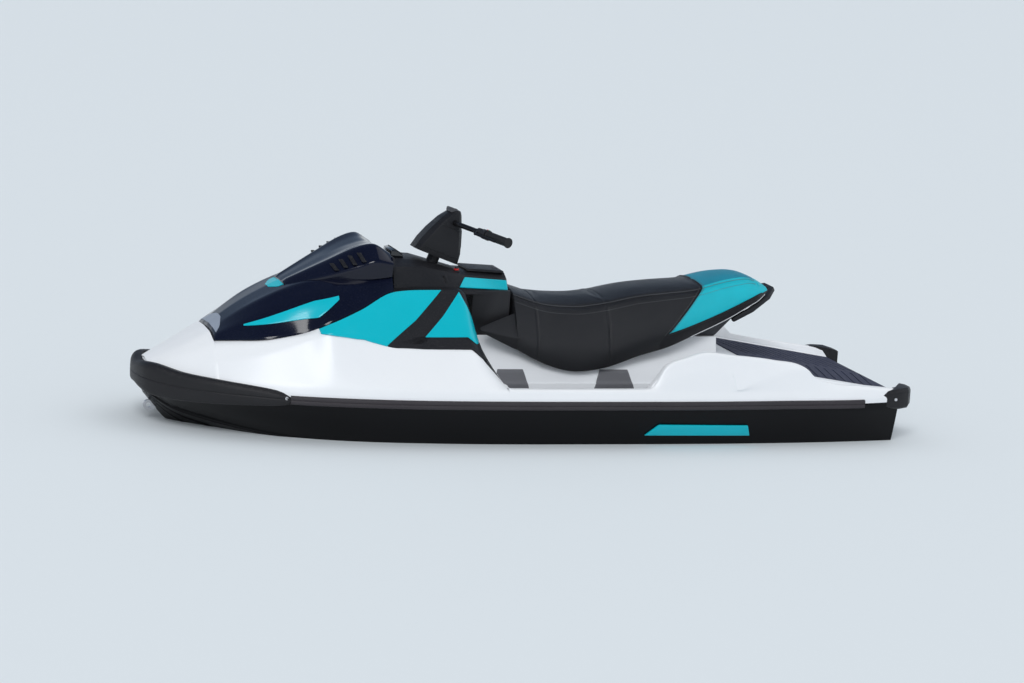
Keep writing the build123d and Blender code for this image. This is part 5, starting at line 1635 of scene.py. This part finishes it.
class CRAFT_OT_cockpit(bpy.types.Operator):
    """Grey plates on the footwell sides as painted shadows, gauge bezel and marks, lid latch, safety post,
    mirror frames and drain plugs
    """

    bl_idname = "craft.cockpit"
    bl_label = "Cockpit and fittings"

    def execute(self, context):
        self.foot_shadows()
        self.gauge()
        self.latch_and_post()
        self.mirrors()
        self.plugs()
        return {"FINISHED"}

    def foot_shadows(self):
        """Grey plates on the side walls of the footwells: painted shadows."""
        for name, (lower, upper) in FOOT_SHADOWS.items():
            rows = []
            for z in spread(FOOT_LOW, FOOT_HIGH, 22):
                share = (z - FOOT_LOW) / (FOOT_HIGH - FOOT_LOW)
                front, rear = (a + (b - a) * share for a, b in zip(lower, upper))
                y = straight(FOOT_SIDE, z)[1]
                rows.append([(x, y + 3.2, z + 1.0) for x in spread(front, rear, 24)])
            panel = look_away(close_up(grid_piece(f"{name}_port", rows), fill=False), y=0.1, z=0.2)
            ease_edges(thicken(panel, 5), 1.2, 2, 60)
            pair(panel, name, "hull", "footwell grey", angle=40)

    def gauge(self):
        """The gauge's bezel, and plain bars on its face."""
        bezel = plate("gauge_bezel", GAUGE, (0, 1, 0), GAUGE_OUT, *BEZEL, BEZEL_EDGE, fill=False, arc=6)
        dress(bezel, "hull", "moulded black", angle=50)
        marks = []
        for k, y in enumerate(spread(-34, 8, 9)):
            tall = 3 + k * 0.55
            marks.append(gauge_mark(y, tall - 9, 1.5, tall, 0.8))
        marks += [gauge_mark(y, up, 4, 1.8, 1.2) for y in (24, 36) for up in (6, -1, -8)]
        dress(joined("gauge_marks", marks), "hull", "display marks", angle=50)

    def latch_and_post(self):
        """The glove-box lid's latch, and the safety post with its clip."""
        latch = plate("lid_latch", LATCH_PLACE, LID_ALONG, LID_OUT, *LATCH, LATCH_EDGE)
        dress(latch, "glove_lid", "moulded grey", angle=50)

        foot, up = meet("console", (*POST, 900), (0, 0, -1)), Vector((0, 0, 1))
        post = turned("safety_post", foot - up * 3, foot + up * 20, POST_PROFILE, 28)
        dress(post, "hull", "moulded black", angle=40)
        clip = turned("safety_clip", foot + up * 4, foot + up * 11, CLIP_PROFILE, 28)
        dress(clip, "hull", "button red", angle=40)

    def mirrors(self):
        """Frames round the mirrors' faces."""
        frames = []
        for side in (1, -1):
            x, y, z = MIRROR_PLACE
            frames.append(plate("frame", (x, side * y, z), (0, 1, 0), (-1, 0, 0), *MIRROR, MIRROR_EDGE,
                                fill=False, arc=6))
        dress(joined("mirror_frames", frames), "hood", "moulded black", angle=50)

    def plugs(self):
        """Drain plugs in the transom, each with a bar to turn it by."""
        plugs = []
        for side in (1, -1):
            y, z = side * DRAIN[0], DRAIN[1]
            start = Vector((meet("hull", (-1900, y, z), (1, 0, 0)).x + 3, y, z))
            plugs.append(turned("plug", start, start - Vector((14, 0, 0)), DRAIN_PROFILE, 28))
            knob = start - Vector((12, 0, 0))
            plugs.append(bar_between("bar", knob - Vector((0, 10, 0)), knob + Vector((0, 10, 0)), 3.2, 10))
        dress(joined("drain_plugs", plugs), "hull", "moulded black", angle=40)


# Colours of the room: from the horizon up, and on the floor
ROOM_SHADES = ((226, 232, 237), (128, 148, 172), (66, 82, 108))
ROOM_MIDDLE, ROOM_TOP = 0.3, 0.9
FLOOR_SHADE = (222, 229, 234)
FILL_COLOUR, FILL_STRENGTH = (0.94, 0.97, 1.0, 1), 0.66
# Lamps: where they shine from, strength, angle
LAMPS = {
    "key lamp": ((3.0, 6.0, 6.5), 1.2, 24),
    "rear lamp": ((-6.0, -1.0, 6.0), 0.35, 50),
}
# Camera: lens and sensor in millimetres, distance in metres from the point it looks at
LENS, SENSOR, DISTANCE = 118, 36, 14.6
AZIMUTH, ELEVATION, ROLL = radians(162), radians(10.4), radians(3.7)
AIM = Vector((0.02, 0, 0.34))


class CRAFT_OT_stage(bpy.types.Operator):
    """Pale floor at the waterline, soft lamps and the camera"""

    bl_idname = "craft.stage"
    bl_label = "Stage"

    def execute(self, context):
        context.scene.view_settings.view_transform = "Standard"
        self.floor()
        self.light(context.scene)
        self.camera(context.scene)
        return {"FINISHED"}

    def floor(self):
        """A wide pale floor at the waterline."""
        settle()
        bpy.ops.mesh.primitive_plane_add(size=240)
        floor = named("floor")
        material = bpy.data.materials.new("pale floor")
        material.use_nodes = True
        shader = material.node_tree.nodes["Principled BSDF"].inputs
        shader["Base Color"].default_value = (*srgb(*FLOOR_SHADE), 1)
        shader["Roughness"].default_value = 0.7
        shader["Specular IOR Level"].default_value = 0.2
        floor.data.materials.append(material)

    def camera(self, scene):
        """The camera, as it was fitted to the photograph."""
        data = bpy.data.cameras.new("camera")
        data.lens = LENS
        data.sensor_width = SENSOR
        data.clip_end = 400
        camera = bpy.data.objects.new("camera", data)
        back = Vector((sin(AZIMUTH) * cos(ELEVATION), -cos(AZIMUTH) * cos(ELEVATION), sin(ELEVATION)))
        camera.location = AIM + back * DISTANCE
        look = (-back).to_track_quat("-Z", "Y").to_matrix().to_4x4()
        camera.rotation_euler = (look @ Matrix.Rotation(ROLL, 4, "Z")).to_euler()
        scene.collection.objects.link(camera)
        scene.camera = camera

    def light(self, scene):
        """A soft room that camera and reflections see, a plain fill for the rest, and two lamps."""
        world = bpy.data.worlds.new("soft room")
        scene.world = world
        world.use_nodes = True
        tree = world.node_tree
        tree.nodes.clear()
        way = new_node(tree, "ShaderNodeTexCoord").outputs["Generated"]
        axes = new_node(tree, "ShaderNodeSeparateXYZ", {0: way})
        sky = new_node(tree, "ShaderNodeValToRGB", {0: axes.outputs["Z"]})
        ramp = sky.color_ramp.elements
        ramp[1].position = ROOM_TOP
        ramp.new(ROOM_MIDDLE)
        for element, shade in zip(ramp, ROOM_SHADES):
            element.color = (*srgb(*shade), 1)
        room = new_node(tree, "ShaderNodeBackground", {"Color": sky.outputs["Color"], "Strength": 1.0})
        fill = new_node(tree, "ShaderNodeBackground", {"Color": FILL_COLOUR, "Strength": FILL_STRENGTH})
        rays = new_node(tree, "ShaderNodeLightPath").outputs
        seen = worked_out(tree, "MAXIMUM", rays["Is Camera Ray"], rays["Is Glossy Ray"])
        seen = worked_out(tree, "MAXIMUM", seen, rays["Is Transmission Ray"])
        choose = new_node(tree, "ShaderNodeMixShader", {0: seen, 1: fill.outputs[0], 2: room.outputs[0]})
        new_node(tree, "ShaderNodeOutputWorld", {"Surface": choose.outputs[0]})

        for name, (place, strength, angle) in LAMPS.items():
            data = bpy.data.lights.new(name, "SUN")
            data.energy = strength
            data.angle = radians(angle)
            lamp = bpy.data.objects.new(name, data)
            lamp.rotation_euler = (-Vector(place)).to_track_quat("-Z", "Y").to_euler()
            scene.collection.objects.link(lamp)


class CRAFT_OT_eased_nodes(bpy.types.Operator):
    """Round the edges of the plain moulded nodes"""

    bl_idname = "craft.eased_nodes"
    bl_label = "Eased edges"

    def execute(self, context):
        for node, width in EASED_NODES.items():
            piece = ease_edges(merged_copy(node, f"{node}_eased"), width, 3, 28)
            body = next(b for b, nodes in frame["record"]["behaviour"]["bodies"].items() if node in nodes)
            dress(piece, body, NODE_FINISHES[node], [node], angle=35)
        return {"FINISHED"}


OPERATORS = (
    CRAFT_OT_finishes, CRAFT_OT_deck, CRAFT_OT_hull, CRAFT_OT_bumpers, CRAFT_OT_hood, CRAFT_OT_fairings,
    CRAFT_OT_seat, CRAFT_OT_steering, CRAFT_OT_cockpit, CRAFT_OT_eased_nodes, CRAFT_OT_stage,
)


class CRAFT_PT_panel(bpy.types.Panel):
    """Lists the steps that dress the craft"""

    bl_idname = "CRAFT_PT_panel"
    bl_label = "Watercraft"
    bl_space_type = "VIEW_3D"
    bl_region_type = "UI"
    bl_category = "Watercraft"

    def draw(self, context):
        layout = self.layout
        for group in (context.scene.craft_sizes, context.scene.craft_colours):
            for name in group.__annotations__:
                layout.prop(group, name)
        for operator in OPERATORS:
            layout.operator(operator.bl_idname)


CLASSES = (CraftColours, CraftSizes, *OPERATORS, CRAFT_PT_panel)


def register():
    for cls in CLASSES:
        bpy.utils.register_class(cls)
    bpy.types.Scene.craft_colours = PointerProperty(type=CraftColours)
    bpy.types.Scene.craft_sizes = PointerProperty(type=CraftSizes)


def unregister():
    del bpy.types.Scene.craft_sizes
    del bpy.types.Scene.craft_colours
    for cls in reversed(CLASSES):
        bpy.utils.unregister_class(cls)


def main():
    """Registers the add-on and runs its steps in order."""
    register()
    for operator in OPERATORS:
        family, step = operator.bl_idname.split(".")
        getattr(getattr(bpy.ops, family), step)()
    settle()


if __name__ == "__main__":
    main()
